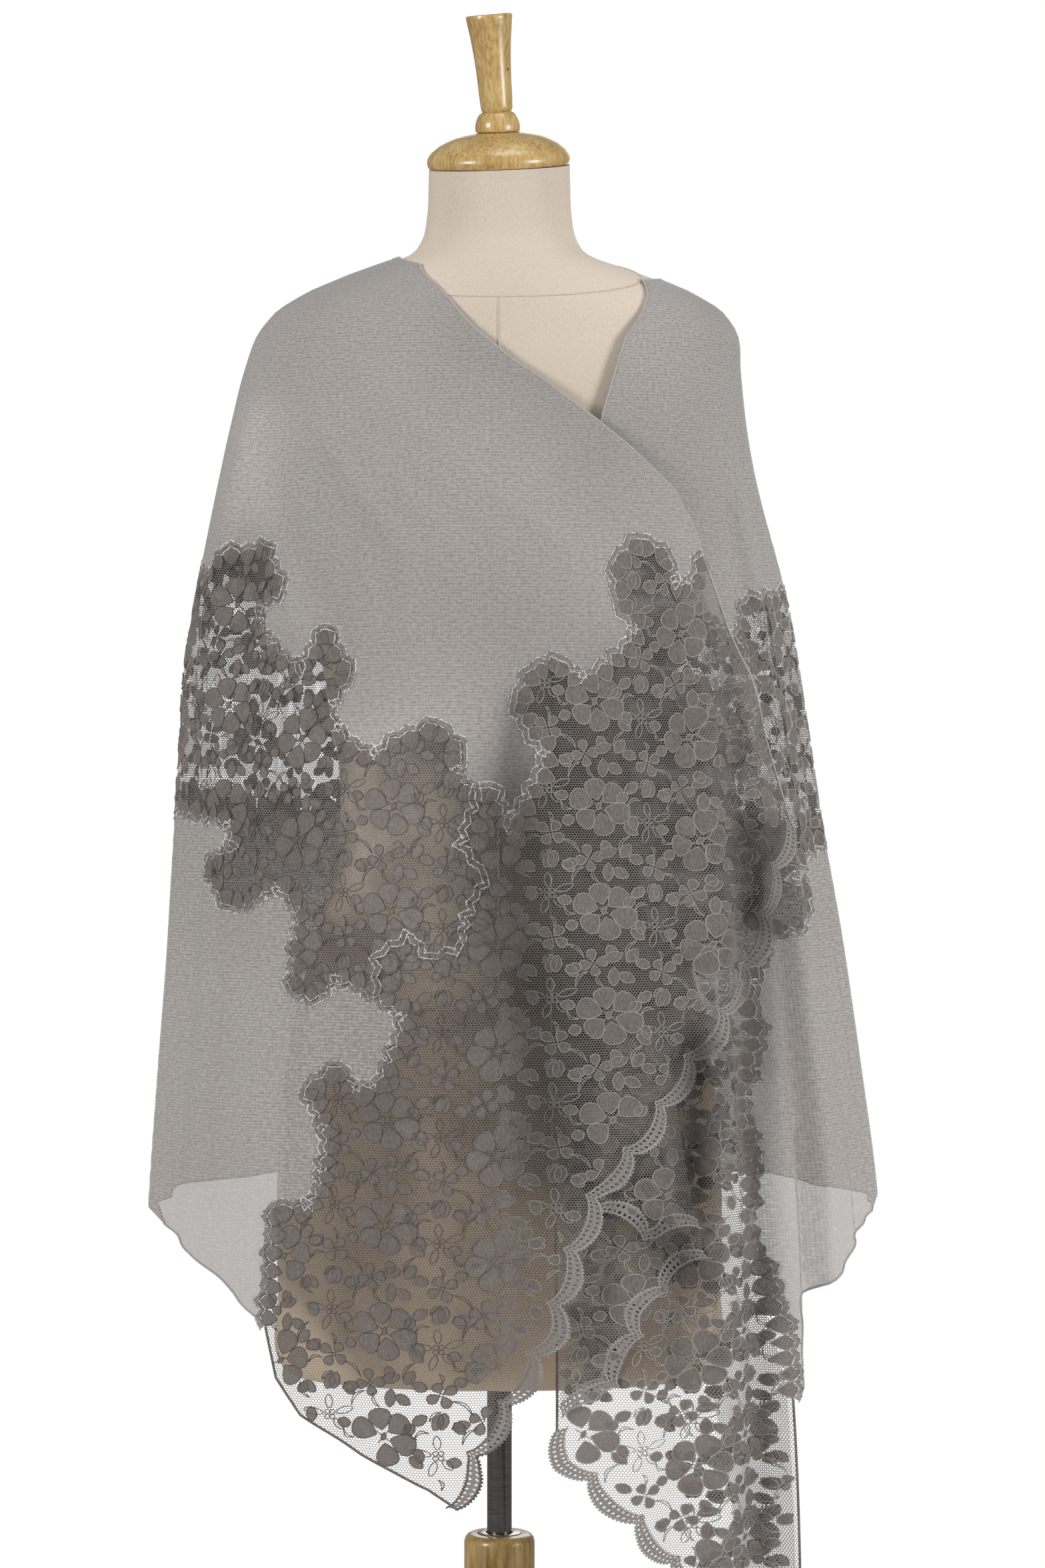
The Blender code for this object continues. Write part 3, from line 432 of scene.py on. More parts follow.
def lacquered_wood(name, light, dark, middle, grain):
    """Lacquered hardwood with its grain along Z, streaked, with a few dark pits."""
    finish, tree, shader = new_finish(name, Roughness=0.42, Coat_Weight=0.5, Coat_Roughness=0.20)
    place = put(tree, "ShaderNodeTexCoord").outputs["Object"]
    along = put(tree, "ShaderNodeMapping", {}, {
        "Vector": place, "Location": tuple(-c for c in middle), "Scale": (1.0, 1.0, 0.09)}).outputs[0]
    streaks = put(tree, "ShaderNodeTexNoise", {}, {
        "Vector": along, "Scale": 1.0 / grain, "Detail": 6.0, "Roughness": 0.62}).outputs[0]
    broad = put(tree, "ShaderNodeTexNoise", {}, {"Vector": along, "Scale": 0.16 / grain, "Detail": 2.0}).outputs[0]
    both = put(tree, "ShaderNodeMath", {"operation": "MULTIPLY_ADD"}, {0: broad, 1: 0.5, 2: streaks}).outputs[0]
    tones = put(tree, "ShaderNodeValToRGB", {}, {0: both})
    tones.color_ramp.elements[0].position, tones.color_ramp.elements[1].position = 0.55, 0.92
    tones.color_ramp.elements[0].color, tones.color_ramp.elements[1].color = linear(dark), linear(light)
    pits = put(tree, "ShaderNodeTexNoise", {}, {"Vector": place, "Scale": 150.0, "Detail": 2.0}).outputs[0]
    pitted = put(tree, "ShaderNodeMapRange", {}, {0: pits, 1: 0.70, 2: 0.76}).outputs[0]
    colour = put(tree, "ShaderNodeMix", {"data_type": "RGBA"}, {
        0: pitted, 6: tones.outputs[0], 7: linear("#5e4120")})
    tree.links.new(colour.outputs[2], shader.inputs["Base Color"])
    bump = put(tree, "ShaderNodeBump", {}, {"Strength": 0.15, "Distance": 0.0003, "Height": streaks})
    tree.links.new(bump.outputs[0], shader.inputs["Normal"])
    return finish


neck_place = Matrix.Translation((0.0, neck_middle, neck_top)) @ Euler((NECK_TILT, NECK_ROLL, 0.0)).to_matrix().to_4x4()
handle_place = neck_place @ Matrix.Translation((0.0, 0.0, HANDLE_SEAT)) @ Matrix.Rotation(HANDLE_LEAN, 4, "Y")
honey = lacquered_wood("honey_lacquered_maple", "#c9ad70", "#987338", (0.0, 0.0, 1.6), 0.0022)
cap_profile = [(0.0560, 0.0004)] + eased((
    (0.0572, 0.0012), (0.0579, 0.0030), (0.0582, 0.0060), (0.0570, 0.0100), (0.0500, 0.0170), (0.0380, 0.0235),
    (0.0230, 0.0272), (0.0170, 0.0280)), 40)
ring_profile = eased((
    (0.0152, 0.0281), (0.0177, 0.0287), (0.0182, 0.0318), (0.0178, 0.0350), (0.0165, 0.0390), (0.0143, 0.0425),
    (0.0118, 0.0442)), 28)
handle_profile = eased((
    (0.0112, -0.0006), (0.0126, 0.0012), (0.0129, 0.0037), (0.0134, 0.0117), (0.0140, 0.0277), (0.0152, 0.0457),
    (0.0170, 0.0617), (0.0184, 0.0717), (0.0187, 0.0757), (0.0182, 0.0767), (0.0168, 0.0769)), 48)
for name, node, profile, place in (
    ("form_cap", "neck_cap", cap_profile, neck_place),
    ("form_cap_ring", "cap_ring", ring_profile, neck_place),
    ("form_handle", "handle", handle_profile, handle_place),
):
    piece = turned(name, profile, 72, honey, place)
    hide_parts(node)
    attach(piece, "dressed_form")

# The pole
# A 20 mm steel tube, bright chromed. It slides in the hub, so the plating carries fine rub marks round it.
chrome, tree, shader = new_finish("chromed_steel_tube", Metallic=1.0, Roughness=0.16)
place = put(tree, "ShaderNodeTexCoord").outputs["Object"]
round_marks = put(tree, "ShaderNodeMapping", {}, {"Vector": place, "Scale": (1.0, 1.0, 30.0)}).outputs[0]
marks = put(tree, "ShaderNodeTexNoise", {}, {"Vector": round_marks, "Scale": 60.0, "Detail": 4.0}).outputs[0]
tone = put(tree, "ShaderNodeMix", {"data_type": "RGBA"}, {0: marks, 6: linear("#5f5957"), 7: linear("#a09c9b")})
tree.links.new(tone.outputs[2], shader.inputs["Base Color"])
rough = put(tree, "ShaderNodeMapRange", {}, {0: marks, 3: 0.10, 4: 0.26})
tree.links.new(rough.outputs[0], shader.inputs["Roughness"])
pole_low, pole_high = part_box("pole")
pole_radius = pole_high.x
pole = turned("pole_tube", (
    (pole_radius - 0.0010, pole_low.z), (pole_radius - 0.0003, pole_low.z + 0.0003),
    (pole_radius, pole_low.z + 0.0010), (pole_radius, pole_high.z - 0.0010),
    (pole_radius - 0.0003, pole_high.z - 0.0003), (pole_radius - 0.0010, pole_high.z)), 64, chrome)
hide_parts("pole")
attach(pole, "mast")

# The hub and its legs
# The hub is turned from the cap's hardwood, paler under its lacquer. Four sawn legs of the same wood, with
# rounded edges, butt against it and end in level feet.
HUB_BORE = 0.0108
KNOB_BEARING = math.radians(-104.0)
KNOB_HEIGHT = 0.380
SCREW_RADIUS = 0.0035
straw = lacquered_wood("straw_lacquered_beech", "#b69a5e", "#7d6033", (0.0, 0.0, 0.3), 0.0026)
hub_low, hub_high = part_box("hub")
hub_radius, hub_top = hub_high.x, hub_high.z
hub_profile = (
    (0.0250, hub_low.z), (0.0272, hub_low.z + 0.0015), (0.0285, hub_low.z + 0.0060), (0.0285, 0.2000),
    (0.0280, 0.2035), (0.0270, 0.2065), (0.0268, 0.2090), (0.0268, 0.3290), (0.0271, 0.3320), (0.0281, 0.3355),
    (hub_radius, 0.3390), (hub_radius, hub_top - 0.0065), (hub_radius - 0.0008, hub_top - 0.0035),
    (hub_radius - 0.0025, hub_top - 0.0013), (hub_radius - 0.0045, hub_top - 0.0003),
    (hub_radius - 0.0060, hub_top), (0.0180, hub_top), (0.0178, hub_top - 0.0002), (0.0178, hub_top - 0.0040))
hub = turned("hub_block", hub_profile, 72, straw, bore=HUB_BORE)
knob_place = (Matrix.Translation((0.0, 0.0, KNOB_HEIGHT))
              @ Euler((0.0, math.pi / 2, KNOB_BEARING)).to_matrix().to_4x4())
drill = turned("drill", ((SCREW_RADIUS + 0.0005, 0.0050), (SCREW_RADIUS + 0.0005, 0.0400)), 24, straw, knob_place)
bore = hub.modifiers.new("bore", "BOOLEAN")
bore.operation, bore.solver, bore.object = "DIFFERENCE", "EXACT", drill
bpy.context.view_layer.update()
shape = bpy.data.meshes.new_from_object(hub.evaluated_get(bpy.context.evaluated_depsgraph_get()))
hub.modifiers.clear()
hub.data = shape
bpy.data.objects.remove(drill)
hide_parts("hub")
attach(hub, "stand")

LEG_THICK = 0.020
LEG_ROUTE = np.array((
    (0.0290, 0.158), (0.070, 0.164), (0.130, 0.148), (0.190, 0.108), (0.245, 0.056), (0.285, 0.021)))
LEG_DEPTHS = np.array((0.056, 0.050, 0.044, 0.038, 0.034, 0.028))
FLOOR_REACH = 0.312
leg_keys = travelled(LEG_ROUTE)
leg_along = np.linspace(0.0, leg_keys[-1], 36)
leg_reach, leg_height = smooth_between(leg_along, leg_keys, LEG_ROUTE).T
leg_depth = smooth_between(leg_along, leg_keys, LEG_DEPTHS)
leg_slope = np.clip((leg_reach - 0.1) * 4.2, 0.0, 0.72)
upper = np.stack((leg_reach + np.sin(leg_slope) * leg_depth / 2, leg_height + np.cos(leg_slope) * leg_depth / 2), 1)
lower = np.stack((leg_reach - np.sin(leg_slope) * leg_depth / 2, leg_height - np.cos(leg_slope) * leg_depth / 2), 1)
upper[0, 0] = lower[0, 0] = LEG_ROUTE[0, 0]
foot = [(FLOOR_REACH, 0.012), (FLOOR_REACH, 0.0), (0.262, 0.0)]
leg_outline = upper.tolist() + foot + lower[::-1].tolist()
count = len(leg_outline)
for number in range(4):
    turn = Matrix.Rotation(number * math.pi / 2, 4, "Z")
    points = [turn @ Vector((reach, side, height)) for side in (-LEG_THICK / 2, LEG_THICK / 2)
              for reach, height in leg_outline]
    faces = [list(range(count)), [count + i for i in range(count)][::-1]]
    faces.extend((count + i, count + (i + 1) % count, (i + 1) % count, i) for i in range(count))
    leg = new_piece(f"stand_leg_{number + 1}", points, faces, straw)
    mesh = bmesh.new()
    mesh.from_mesh(leg.data)
    bmesh.ops.recalc_face_normals(mesh, faces=mesh.faces)
    mesh.to_mesh(leg.data)
    mesh.free()
    rounding = leg.modifiers.new("rounding", "BEVEL")
    rounding.width, rounding.segments, rounding.limit_method = 0.0022, 3, "ANGLE"
    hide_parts(f"leg_{number + 1}")
    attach(leg, "stand")

# The hub's ring and its screws
# A brushed steel washer let into the top of the hub, held by three small countersunk screws. Brushing round
# the hole blurs its highlights into arcs.
steel, tree, shader = new_finish("brushed_steel_washer", Metallic=1.0, Roughness=0.34, Anisotropic=0.4)
place = put(tree, "ShaderNodeTexCoord").outputs["Object"]
fine = put(tree, "ShaderNodeTexNoise", {}, {"Vector": place, "Scale": 900.0, "Detail": 2.0}).outputs[0]
tone = put(tree, "ShaderNodeMix", {"data_type": "RGBA"}, {0: fine, 6: linear("#8d8984"), 7: linear("#bdb8b0")})
tree.links.new(tone.outputs[2], shader.inputs["Base Color"])
washer_low, washer_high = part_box("hub_ring")
washer_radius, washer_top = washer_high.x, washer_high.z
washer = turned("hub_washer", (
    (washer_radius, washer_low.z), (washer_radius, washer_top - 0.0004),
    (washer_radius - 0.0005, washer_top)), 64, steel, bore=HUB_BORE + 0.0004)
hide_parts("hub_ring")
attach(washer, "stand")
SCREW_HEAD = 0.0019
screw_points, screw_faces = [], []
head_rows = ((0.0, 0.0007), (0.6 * SCREW_HEAD, 0.0006), (SCREW_HEAD, 0.0002), (SCREW_HEAD, -0.0008), (0.0, -0.0008))
for number in range(3):
    bearing = math.radians(30 + 120 * number)
    middle = Vector((0.0145 * math.cos(bearing), 0.0145 * math.sin(bearing), washer_top))
    first = len(screw_points)
    for radius, height in head_rows[1:-1]:
        for i in range(16):
            angle = 2 * math.pi * i / 16
            screw_points.append(middle + Vector((radius * math.cos(angle), radius * math.sin(angle), height)))
    for row in range(2):
        for i in range(16):
            j = (i + 1) % 16
            low, high = first + (row + 1) * 16, first + row * 16
            screw_faces.append((low + i, low + j, high + j, high + i))
    screw_faces.append([first + i for i in range(16)])
    screw_faces.append([first + 32 + i for i in range(16)][::-1])
screws = new_piece("washer_screws", screw_points, screw_faces, steel)
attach(screws, "stand")

# The clamp knob
# Black moulded plastic on a steel screw: a grip with ten shallow flutes, semi-matt from its mould.
FLUTES = 10
FLUTE_DEPTH = 0.0011
moulded, tree, shader = new_finish("moulded_black_plastic", Base_Color=linear("#161616"), Roughness=0.42)
place = put(tree, "ShaderNodeTexCoord").outputs["Object"]
grit = put(tree, "ShaderNodeTexNoise", {}, {"Vector": place, "Scale": 1200.0, "Detail": 2.0}).outputs[0]
tone = put(tree, "ShaderNodeMix", {"data_type": "RGBA"}, {0: grit, 6: linear("#101010"), 7: linear("#242322")})
tree.links.new(tone.outputs[2], shader.inputs["Base Color"])
bump = put(tree, "ShaderNodeBump", {}, {"Strength": 0.3, "Distance": 0.0001, "Height": grit})
tree.links.new(bump.outputs[0], shader.inputs["Normal"])
knob_rows = [(SCREW_RADIUS, 0.0116), (SCREW_RADIUS, 0.0330), (0.0100, 0.0334), (0.0110, 0.0345), (0.0110, 0.0430)]
grip_rows = eased((
    (0.0160, 0.0455), (0.0195, 0.0480), (0.0210, 0.0500), (0.0210, 0.0550), (0.0210, 0.0600), (0.0185, 0.0640),
    (0.0100, 0.0655)), 20)
points, faces, sides = [], [], 80
for radius, height in knob_rows + grip_rows:
    for i in range(sides):
        angle = 2 * math.pi * i / sides
        flute = FLUTE_DEPTH * (0.5 - 0.5 * math.cos(FLUTES * angle)) * smooth_step(radius, 0.015, 0.019)
        reach = radius - flute
        points.append(knob_place @ Vector((reach * math.cos(angle), reach * math.sin(angle), height)))
rows = len(points) // sides
faces = [list(range(sides))[::-1], [(rows - 1) * sides + i for i in range(sides)]]
for row in range(rows - 1):
    low, high = row * sides, (row + 1) * sides
    faces.extend((low + i, low + (i + 1) % sides, high + (i + 1) % sides, high + i) for i in range(sides))
knob = new_piece("clamp_grip", points, faces, moulded)
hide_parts("clamp_knob")
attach(knob, "clamp")

# The drape
# The shawl is one long stole that hangs from both shoulders in soft folds, its left end over its right one.
# Each piece is cut out flat, in metres of cloth, and then laid on this form with the folds raised in it.
UNROLL_RADIUS = 0.25        # the folds' widths are measured on this radius
OVERLAP_RISE = 0.015        # how far the over end lies in front of the under end
GAUGE_DROP = float(drop_at(0.95))   # the cloth's width is measured at this way down

# Hanging folds: degrees round the cloth at the fold's head and foot, half width and rise in metres (a trough is
# negative), and the heights of its head and foot. Under-end folds are a full turn back, at -360 degrees.
FOLDS = (
    (2, 2, 0.013, -0.013, 1.13, 0.52),
    (10, 9, 0.014, 0.008, 1.16, 0.56),
    (-14, -9, 0.016, 0.006, 1.08, 0.50),
    (-27, -22, 0.018, -0.005, 1.02, 0.50),
    (34, 27, 0.011, -0.006, 1.20, 0.74),
    (40, 33, 0.010, 0.006, 1.22, 0.78),
    (46, 39, 0.010, -0.006, 1.20, 0.84),
    (52, 45, 0.010, 0.006, 1.19, 0.92),
    (-60, -64, 0.020, 0.009, 1.42, 1.12),
    (-52, -50, 0.020, -0.006, 1.30, 0.60),
    (-78, -80, 0.020, 0.006, 1.24, 0.60),
    (-66, -67, 0.018, -0.006, 1.10, 0.58),
    (-99, -97, 0.024, -0.008, 1.32, 0.62),
    (-116, -113, 0.024, 0.009, 1.34, 0.62),
    (-133, -130, 0.024, -0.009, 1.36, 0.62),
    (-150, -148, 0.026, 0.007, 1.30, 0.62),
    (-168, -167, 0.026, -0.008, 1.34, 0.62),
    (-186, -187, 0.028, 0.008, 1.28, 0.62),
    (-204, -206, 0.026, -0.009, 1.34, 0.62),
    (-222, -225, 0.024, 0.009, 1.34, 0.62),
    (-240, -243, 0.022, -0.009, 1.36, 0.62),
    (-256, -259, 0.020, 0.007, 1.32, 0.62),
    (-276, -276, 0.018, 0.006, 1.30, 0.64),
    (-288, -287, 0.014, -0.007, 1.40, 0.62),
    (-299, -302, 0.012, 0.007, 1.38, 0.40),
    (-306, -309, 0.011, -0.014, 1.00, 0.30),
    (-312, -315, 0.011, 0.009, 0.93, 0.30),
    (-319, -322, 0.011, -0.010, 0.90, 0.30),
    (-326, -329, 0.012, 0.009, 0.84, 0.30),
    (-334, -336, 0.012, -0.008, 0.88, 0.36),
    (-342, -343, 0.012, 0.007, 0.76, 0.40),
)

# Finer creases in the same form: pull lines over the chest and back, and pleats in the lace
CREASES = (
    (-58, -14, 0.011, 0.0022, 1.395, 1.200),
    (-46, -2, 0.009, -0.0018, 1.390, 1.210),
    (-36, 12, 0.010, 0.0022, 1.385, 1.200),
    (-24, 22, 0.008, -0.0016, 1.370, 1.215),
    (-74, -34, 0.012, 0.0026, 1.370, 1.130),
    (-66, -26, 0.010, -0.0020, 1.370, 1.140),
    (-86, -78, 0.009, -0.0035, 1.260, 1.020),
    (-72, -70, 0.007, 0.0030, 1.230, 1.000),
    (-61, -60, 0.007, -0.0030, 1.200, 0.960),
    (-44, -42, 0.010, 0.0030, 1.120, 0.600),
    (-36, -33, 0.008, -0.0026, 1.060, 0.700),
    (-18, -13, 0.009, 0.0024, 1.000, 0.620),
    (-6, -3, 0.007, 0.0030, 1.060, 0.600),
    (16, 14, 0.008, -0.0030, 1.140, 0.620),
    (22, 19, 0.007, 0.0030, 1.150, 0.640),
    (28, 23, 0.006, -0.0026, 1.160, 0.700),
    (-294, -294, 0.008, 0.0030, 1.360, 0.900),
    (-283, -281, 0.009, -0.0035, 1.300, 0.650),
    (-271, -272, 0.010, 0.0030, 1.250, 0.650),
    (-330, -331, 0.006, -0.0030, 0.900, 0.420),
    (-316, -318, 0.006, 0.0040, 0.800, 0.330),
    (-303, -305, 0.006, 0.0040, 0.800, 0.400),
)
ROLL_RISE = 0.0050          # the over end's free edge rolls outward
ROLL_WIDTH = 0.020

turns = np.radians(np.arange(-400.0, 100.0, 0.25))
gauge = smooth_oval(turns, np.full(len(turns), GAUGE_DROP))
turn_ways = travelled(gauge)
turn_ways -= np.interp(0.0, turns, turn_ways)


def edge_roll(degrees, height):
    """The soft roll along the over end's free edge, with a hollow behind it."""
    free = np.array((
        (1.438, -24.0), (1.387, -8.0), (1.337, 12.5), (1.284, 32.0), (1.221, 46.0), (1.146, 54.0), (1.067, 57.0),
        (0.995, 65.0), (0.900, 52.0)))[::-1]
    away = np.radians(np.interp(height, free[:, 0], free[:, 1]) - degrees) * UNROLL_RADIUS / ROLL_WIDTH
    near = np.exp(-(away / 0.7) ** 2) - 0.45 * np.exp(-((away - 2.4) / 0.9) ** 2)
    return ROLL_RISE * near * smooth_step(-height, -1.40, -1.30) * smooth_step(height, 0.90, 1.02)


def fold_rise(angle, drop):
    """How far the folds stand out of the plain form, and the over end out of the under end."""
    degrees = np.degrees(angle)
    height = np.interp(drop, section_drops, CLOTH_SECTIONS[:, 0])
    rise = OVERLAP_RISE * smooth_step(degrees, -45.0, -5.0) * smooth_step(-height, -1.37, -1.24)
    rise = rise + edge_roll(degrees, height)
    for head, foot, width, depth, top, bottom in FOLDS + CREASES:
        along = np.clip((top - height) / (top - bottom), 0.0, 1.0)
        middle = head + (foot - head) * along
        away = np.radians(degrees - middle) * UNROLL_RADIUS / width
        fade = smooth_step(top - height, 0.0, 0.16) * smooth_step(height - bottom, -0.10, 0.04)
        rise = rise + depth * np.exp(-away * away) * fade
    return rise


def draped(flat, lift):
    """Puts points of the flat cloth (across, up) on the form, lifted off it along its normal."""
    flat = np.asarray(flat, dtype=float)
    angle = np.interp(flat[:, 0], turn_ways, turns)
    drop = -flat[:, 1]
    rise = fold_rise(angle, drop) + lift
    return smooth_oval(angle, drop) + outward(angle, drop) * rise[:, None]


def from_front(points, turns_back=0):
    """Front-view points (X, height) as points of the flat cloth; the under end is a full turn back."""
    points = np.array(points)
    drop = drop_at(points[:, 1])
    sections = smooth_between(drop, section_drops, CLOTH_SECTIONS[:, 1:3])
    half = np.where(points[:, 0] < 0, sections[:, 0], sections[:, 1])
    across = np.minimum(np.abs(points[:, 0]) / half, 1.0) ** (SQUARENESS / 2) * np.sign(points[:, 0])
    angle = np.arcsin(across) - 2 * math.pi * turns_back
    return np.stack((np.interp(angle, turns, turn_ways), -drop), axis=1)


def from_side(points):
    """Points given as degrees round the body and height, as points of the flat cloth."""
    points = np.array(points, dtype=float)
    return np.stack((np.interp(np.radians(points[:, 0]), turns, turn_ways), -drop_at(points[:, 1])), axis=1)


# The cut lines
# All the pieces are cut from these shared lines. A seam between crepe and lace follows the lace's own petals,
# so each run between two corners is drawn as a few petals' rounded edges.
EDGE_STEP = 0.0045
EDGE_PETAL = 0.0130         # width of the petals that edge a seam
EDGE_TIPS = (0.0, 0.50, 0.78, 1.20, 0.78, 0.50)     # a petal's outline, cut to a soft point
EDGE_REACHES = (0.0044, 0.0026, 0.0054, 0.0034)     # how far the petals stand out, in turn
EDGE_BOW = 0.01             # of a run's length
OVER_NECK = (
    (-0.063, 1.438), (-0.047, 1.417), (-0.023, 1.387), (0.008, 1.359), (0.038, 1.337), (0.075, 1.306),
    (0.099, 1.284), (0.129, 1.251), (0.145, 1.221), (0.151, 1.201), (0.171, 1.146), (0.185, 1.109),
    (0.196, 1.067), (0.218, 0.995),
)
OVER_END = (
    (0.218, 0.995), (0.199, 0.938), (0.187, 0.885), (0.152, 0.825), (0.122, 0.779), (0.101, 0.747),
    (0.074, 0.718), (0.052, 0.662), (0.039, 0.610), (0.011, 0.560), (-0.021, 0.509), (-0.030, 0.477),
)
OVER_HEM = (
    (-0.030, 0.477), (-0.051, 0.492), (-0.103, 0.516), (-0.150, 0.543), (-0.170, 0.570), (-0.179, 0.609),
)
OVER_HEM_SIDE = ((-0.179, 0.609), (-0.206, 0.632), (-0.243, 0.659), (-0.268, 0.679))
UNDER_NECK = ((0.114, 1.427), (0.100, 1.377), (0.078, 1.303), (0.058, 1.220), (0.042, 1.135))
UNDER_NECK_LACE = ((0.042, 1.135), (0.040, 1.026), (0.041, 0.787), (0.045, 0.608), (0.045, 0.534))
UNDER_END = ((0.045, 0.534), (0.054, 0.510), (0.081, 0.486), (0.113, 0.456), (0.133, 0.431), (0.232, 0.333))
UNDER_HEM = ((0.232, 0.333), (0.228, 0.449), (0.224, 0.552))
UNDER_HEM_SIDE = (
    (0.224, 0.552), (0.238, 0.560), (0.243, 0.582), (0.236, 0.606), (0.246, 0.629), (0.277, 0.656), (0.2975, 0.687),
)
OVER_LACE_TOP = (
    (0.151, 1.201), (0.143, 1.175), (0.127, 1.178), (0.126, 1.198), (0.105, 1.212), (0.086, 1.195), (0.089, 1.165),
    (0.105, 1.143), (0.084, 1.116), (0.061, 1.102), (0.045, 1.119), (0.027, 1.113), (0.014, 1.088), (0.023, 1.068),
    (0.039, 1.050), (0.025, 1.015), (0.008, 0.992), (-0.007, 1.023), (-0.017, 1.014),
)
BAND_TOP_FRONT = (
    (-0.017, 1.014), (-0.036, 1.037), (-0.028, 1.050), (-0.044, 1.070), (-0.073, 1.061), (-0.093, 1.044),
    (-0.126, 1.066), (-0.129, 1.090), (-0.112, 1.110), (-0.132, 1.145), (-0.150, 1.112), (-0.180, 1.134),
    (-0.191, 1.162), (-0.167, 1.178), (-0.182, 1.212), (-0.212, 1.205), (-0.224, 1.189), (-0.238, 1.200),
)
LACE_JOINT = (
    (-0.017, 1.014), (-0.029, 0.980), (-0.008, 0.956), (-0.025, 0.925), (-0.026, 0.903), (-0.050, 0.893),
    (-0.066, 0.912), (-0.092, 0.893), (-0.088, 0.865),
)
BAND_FOOT_FRONT = (
    (-0.088, 0.865), (-0.124, 0.881), (-0.137, 0.864), (-0.158, 0.867), (-0.151, 0.932), (-0.172, 0.951),
    (-0.190, 0.936), (-0.212, 0.932), (-0.233, 0.962), (-0.209, 0.975), (-0.212, 0.999), (-0.246, 1.016),
)
OVER_LACE_SIDE = (
    (-0.088, 0.865), (-0.066, 0.850), (-0.077, 0.815), (-0.091, 0.792), (-0.110, 0.790), (-0.120, 0.809),
    (-0.146, 0.792), (-0.129, 0.765), (-0.130, 0.731), (-0.141, 0.699), (-0.172, 0.700), (-0.173, 0.658),
    (-0.179, 0.609),
)
UNDER_LACE_TOP = ((0.042, 1.135), (0.075, 1.112), (0.098, 1.141), (0.130, 1.118), (0.152, 1.150), (0.187, 1.137))
UNDER_LACE_JOINT = ((0.187, 1.137), (0.199, 1.095), (0.186, 1.050), (0.203, 1.005), (0.192, 0.960), (0.213, 0.905))
BAND_TOP_RIGHT = ((0.187, 1.137), (0.193, 1.168), (0.2215, 1.177))
BAND_FOOT_RIGHT = ((0.213, 0.905), (0.240, 0.925), (0.243, 0.944), (0.226, 0.952), (0.240, 0.969), (0.2555, 0.989))
UNDER_LACE_SIDE = (
    (0.213, 0.905), (0.193, 0.875), (0.200, 0.830), (0.190, 0.784), (0.199, 0.735), (0.194, 0.686), (0.207, 0.645),
    (0.219, 0.601), (0.224, 0.552),
)
LEFT_SIDE = -90.0
RIGHT_SIDE = -270.0
BAND_TOP_BACK = (1.200, 1.178)      # heights at the left and right side
BAND_FOOT_BACK = (1.014, 0.988)
PETAL_PITCH = 0.076
PETAL_DEPTH = 0.020
HEM_BACK = (0.688, 0.687)
HEM_BACK_DIP = 0.015
BACK_NECK = (
    (-60, 1.4475), (-90, 1.4490), (-100, 1.4495), (-140, 1.4440), (-180, 1.4330), (-215, 1.4300), (-250, 1.4345),
    (-270, 1.4345),
)
SCALLOP_PITCH = 0.043
SCALLOP_DEPTH = 0.011


def stepped(route):
    """Cuts an edge into short steps."""
    result = [route[0]]
    for start, end in zip(route[:-1], route[1:]):
        pieces = max(1, round(np.linalg.norm(end - start) / EDGE_STEP))
        result.extend(start + (end - start) * i / pieces for i in range(1, pieces + 1))
    return np.array(result)


def petalled(route, side, each=6):
    """Cuts a seam along rounded petal ends that stand to its left where side is 1."""
    result = [route[0]]
    for start, end in zip(route[:-1], route[1:]):
        run = end - start
        length = np.linalg.norm(run)
        out = np.array((-run[1], run[0])) * side / length
        petals = max(1, round(length / EDGE_PETAL))
        for i in range(1, petals * each + 1):
            part = i / (petals * each)
            petal = EDGE_REACHES[i // each % 4] * EDGE_TIPS[i * 6 // each % 6]
            reach = EDGE_BOW * length * math.sin(math.pi * part) + petal
            result.append(start + run * part + out * reach)
    return np.array(result)


def petal_row(heights):
    """The band's petals across the back, from the left side to the right."""
    count = 2 * round(0.785 / PETAL_PITCH)
    points = []
    for i in range(count + 1):
        part = i / count
        height = heights[0] + (heights[1] - heights[0]) * part
        if 0 < i < count:
            height += PETAL_DEPTH * (0.5 if i % 2 else -0.5)
        points.append((LEFT_SIDE + (RIGHT_SIDE - LEFT_SIDE) * part, height))
    return from_side(points)


def scalloped(route, side, per_scallop=16):
    """A cut end as a row of round scallops to the route's left where side is 1: points and their inward ways."""
    keys = travelled(route)
    count = max(2, round(keys[-1] / SCALLOP_PITCH))
    result, inward = [], []
    for i in range(count * per_scallop + 1):
        at = keys[-1] * i / (count * per_scallop)
        here, ahead, behind = (
            np.array([np.interp(np.clip(a, 0.0, keys[-1]), keys, route[:, k]) for k in (0, 1)])
            for a in (at, at + 0.01, at - 0.01))
        way = (ahead - behind) / np.linalg.norm(ahead - behind)
        bulge = SCALLOP_DEPTH * math.sin(math.pi * (i % per_scallop) / per_scallop) ** 0.7
        out = np.array((-way[1], way[0])) * side
        result.append(here + out * bulge)
        inward.append(-out)
    return np.array(result), np.array(inward)


def joined(*routes):
    """One closed outline from edges that follow each other."""
    return np.concatenate([route[:-1] for route in routes])


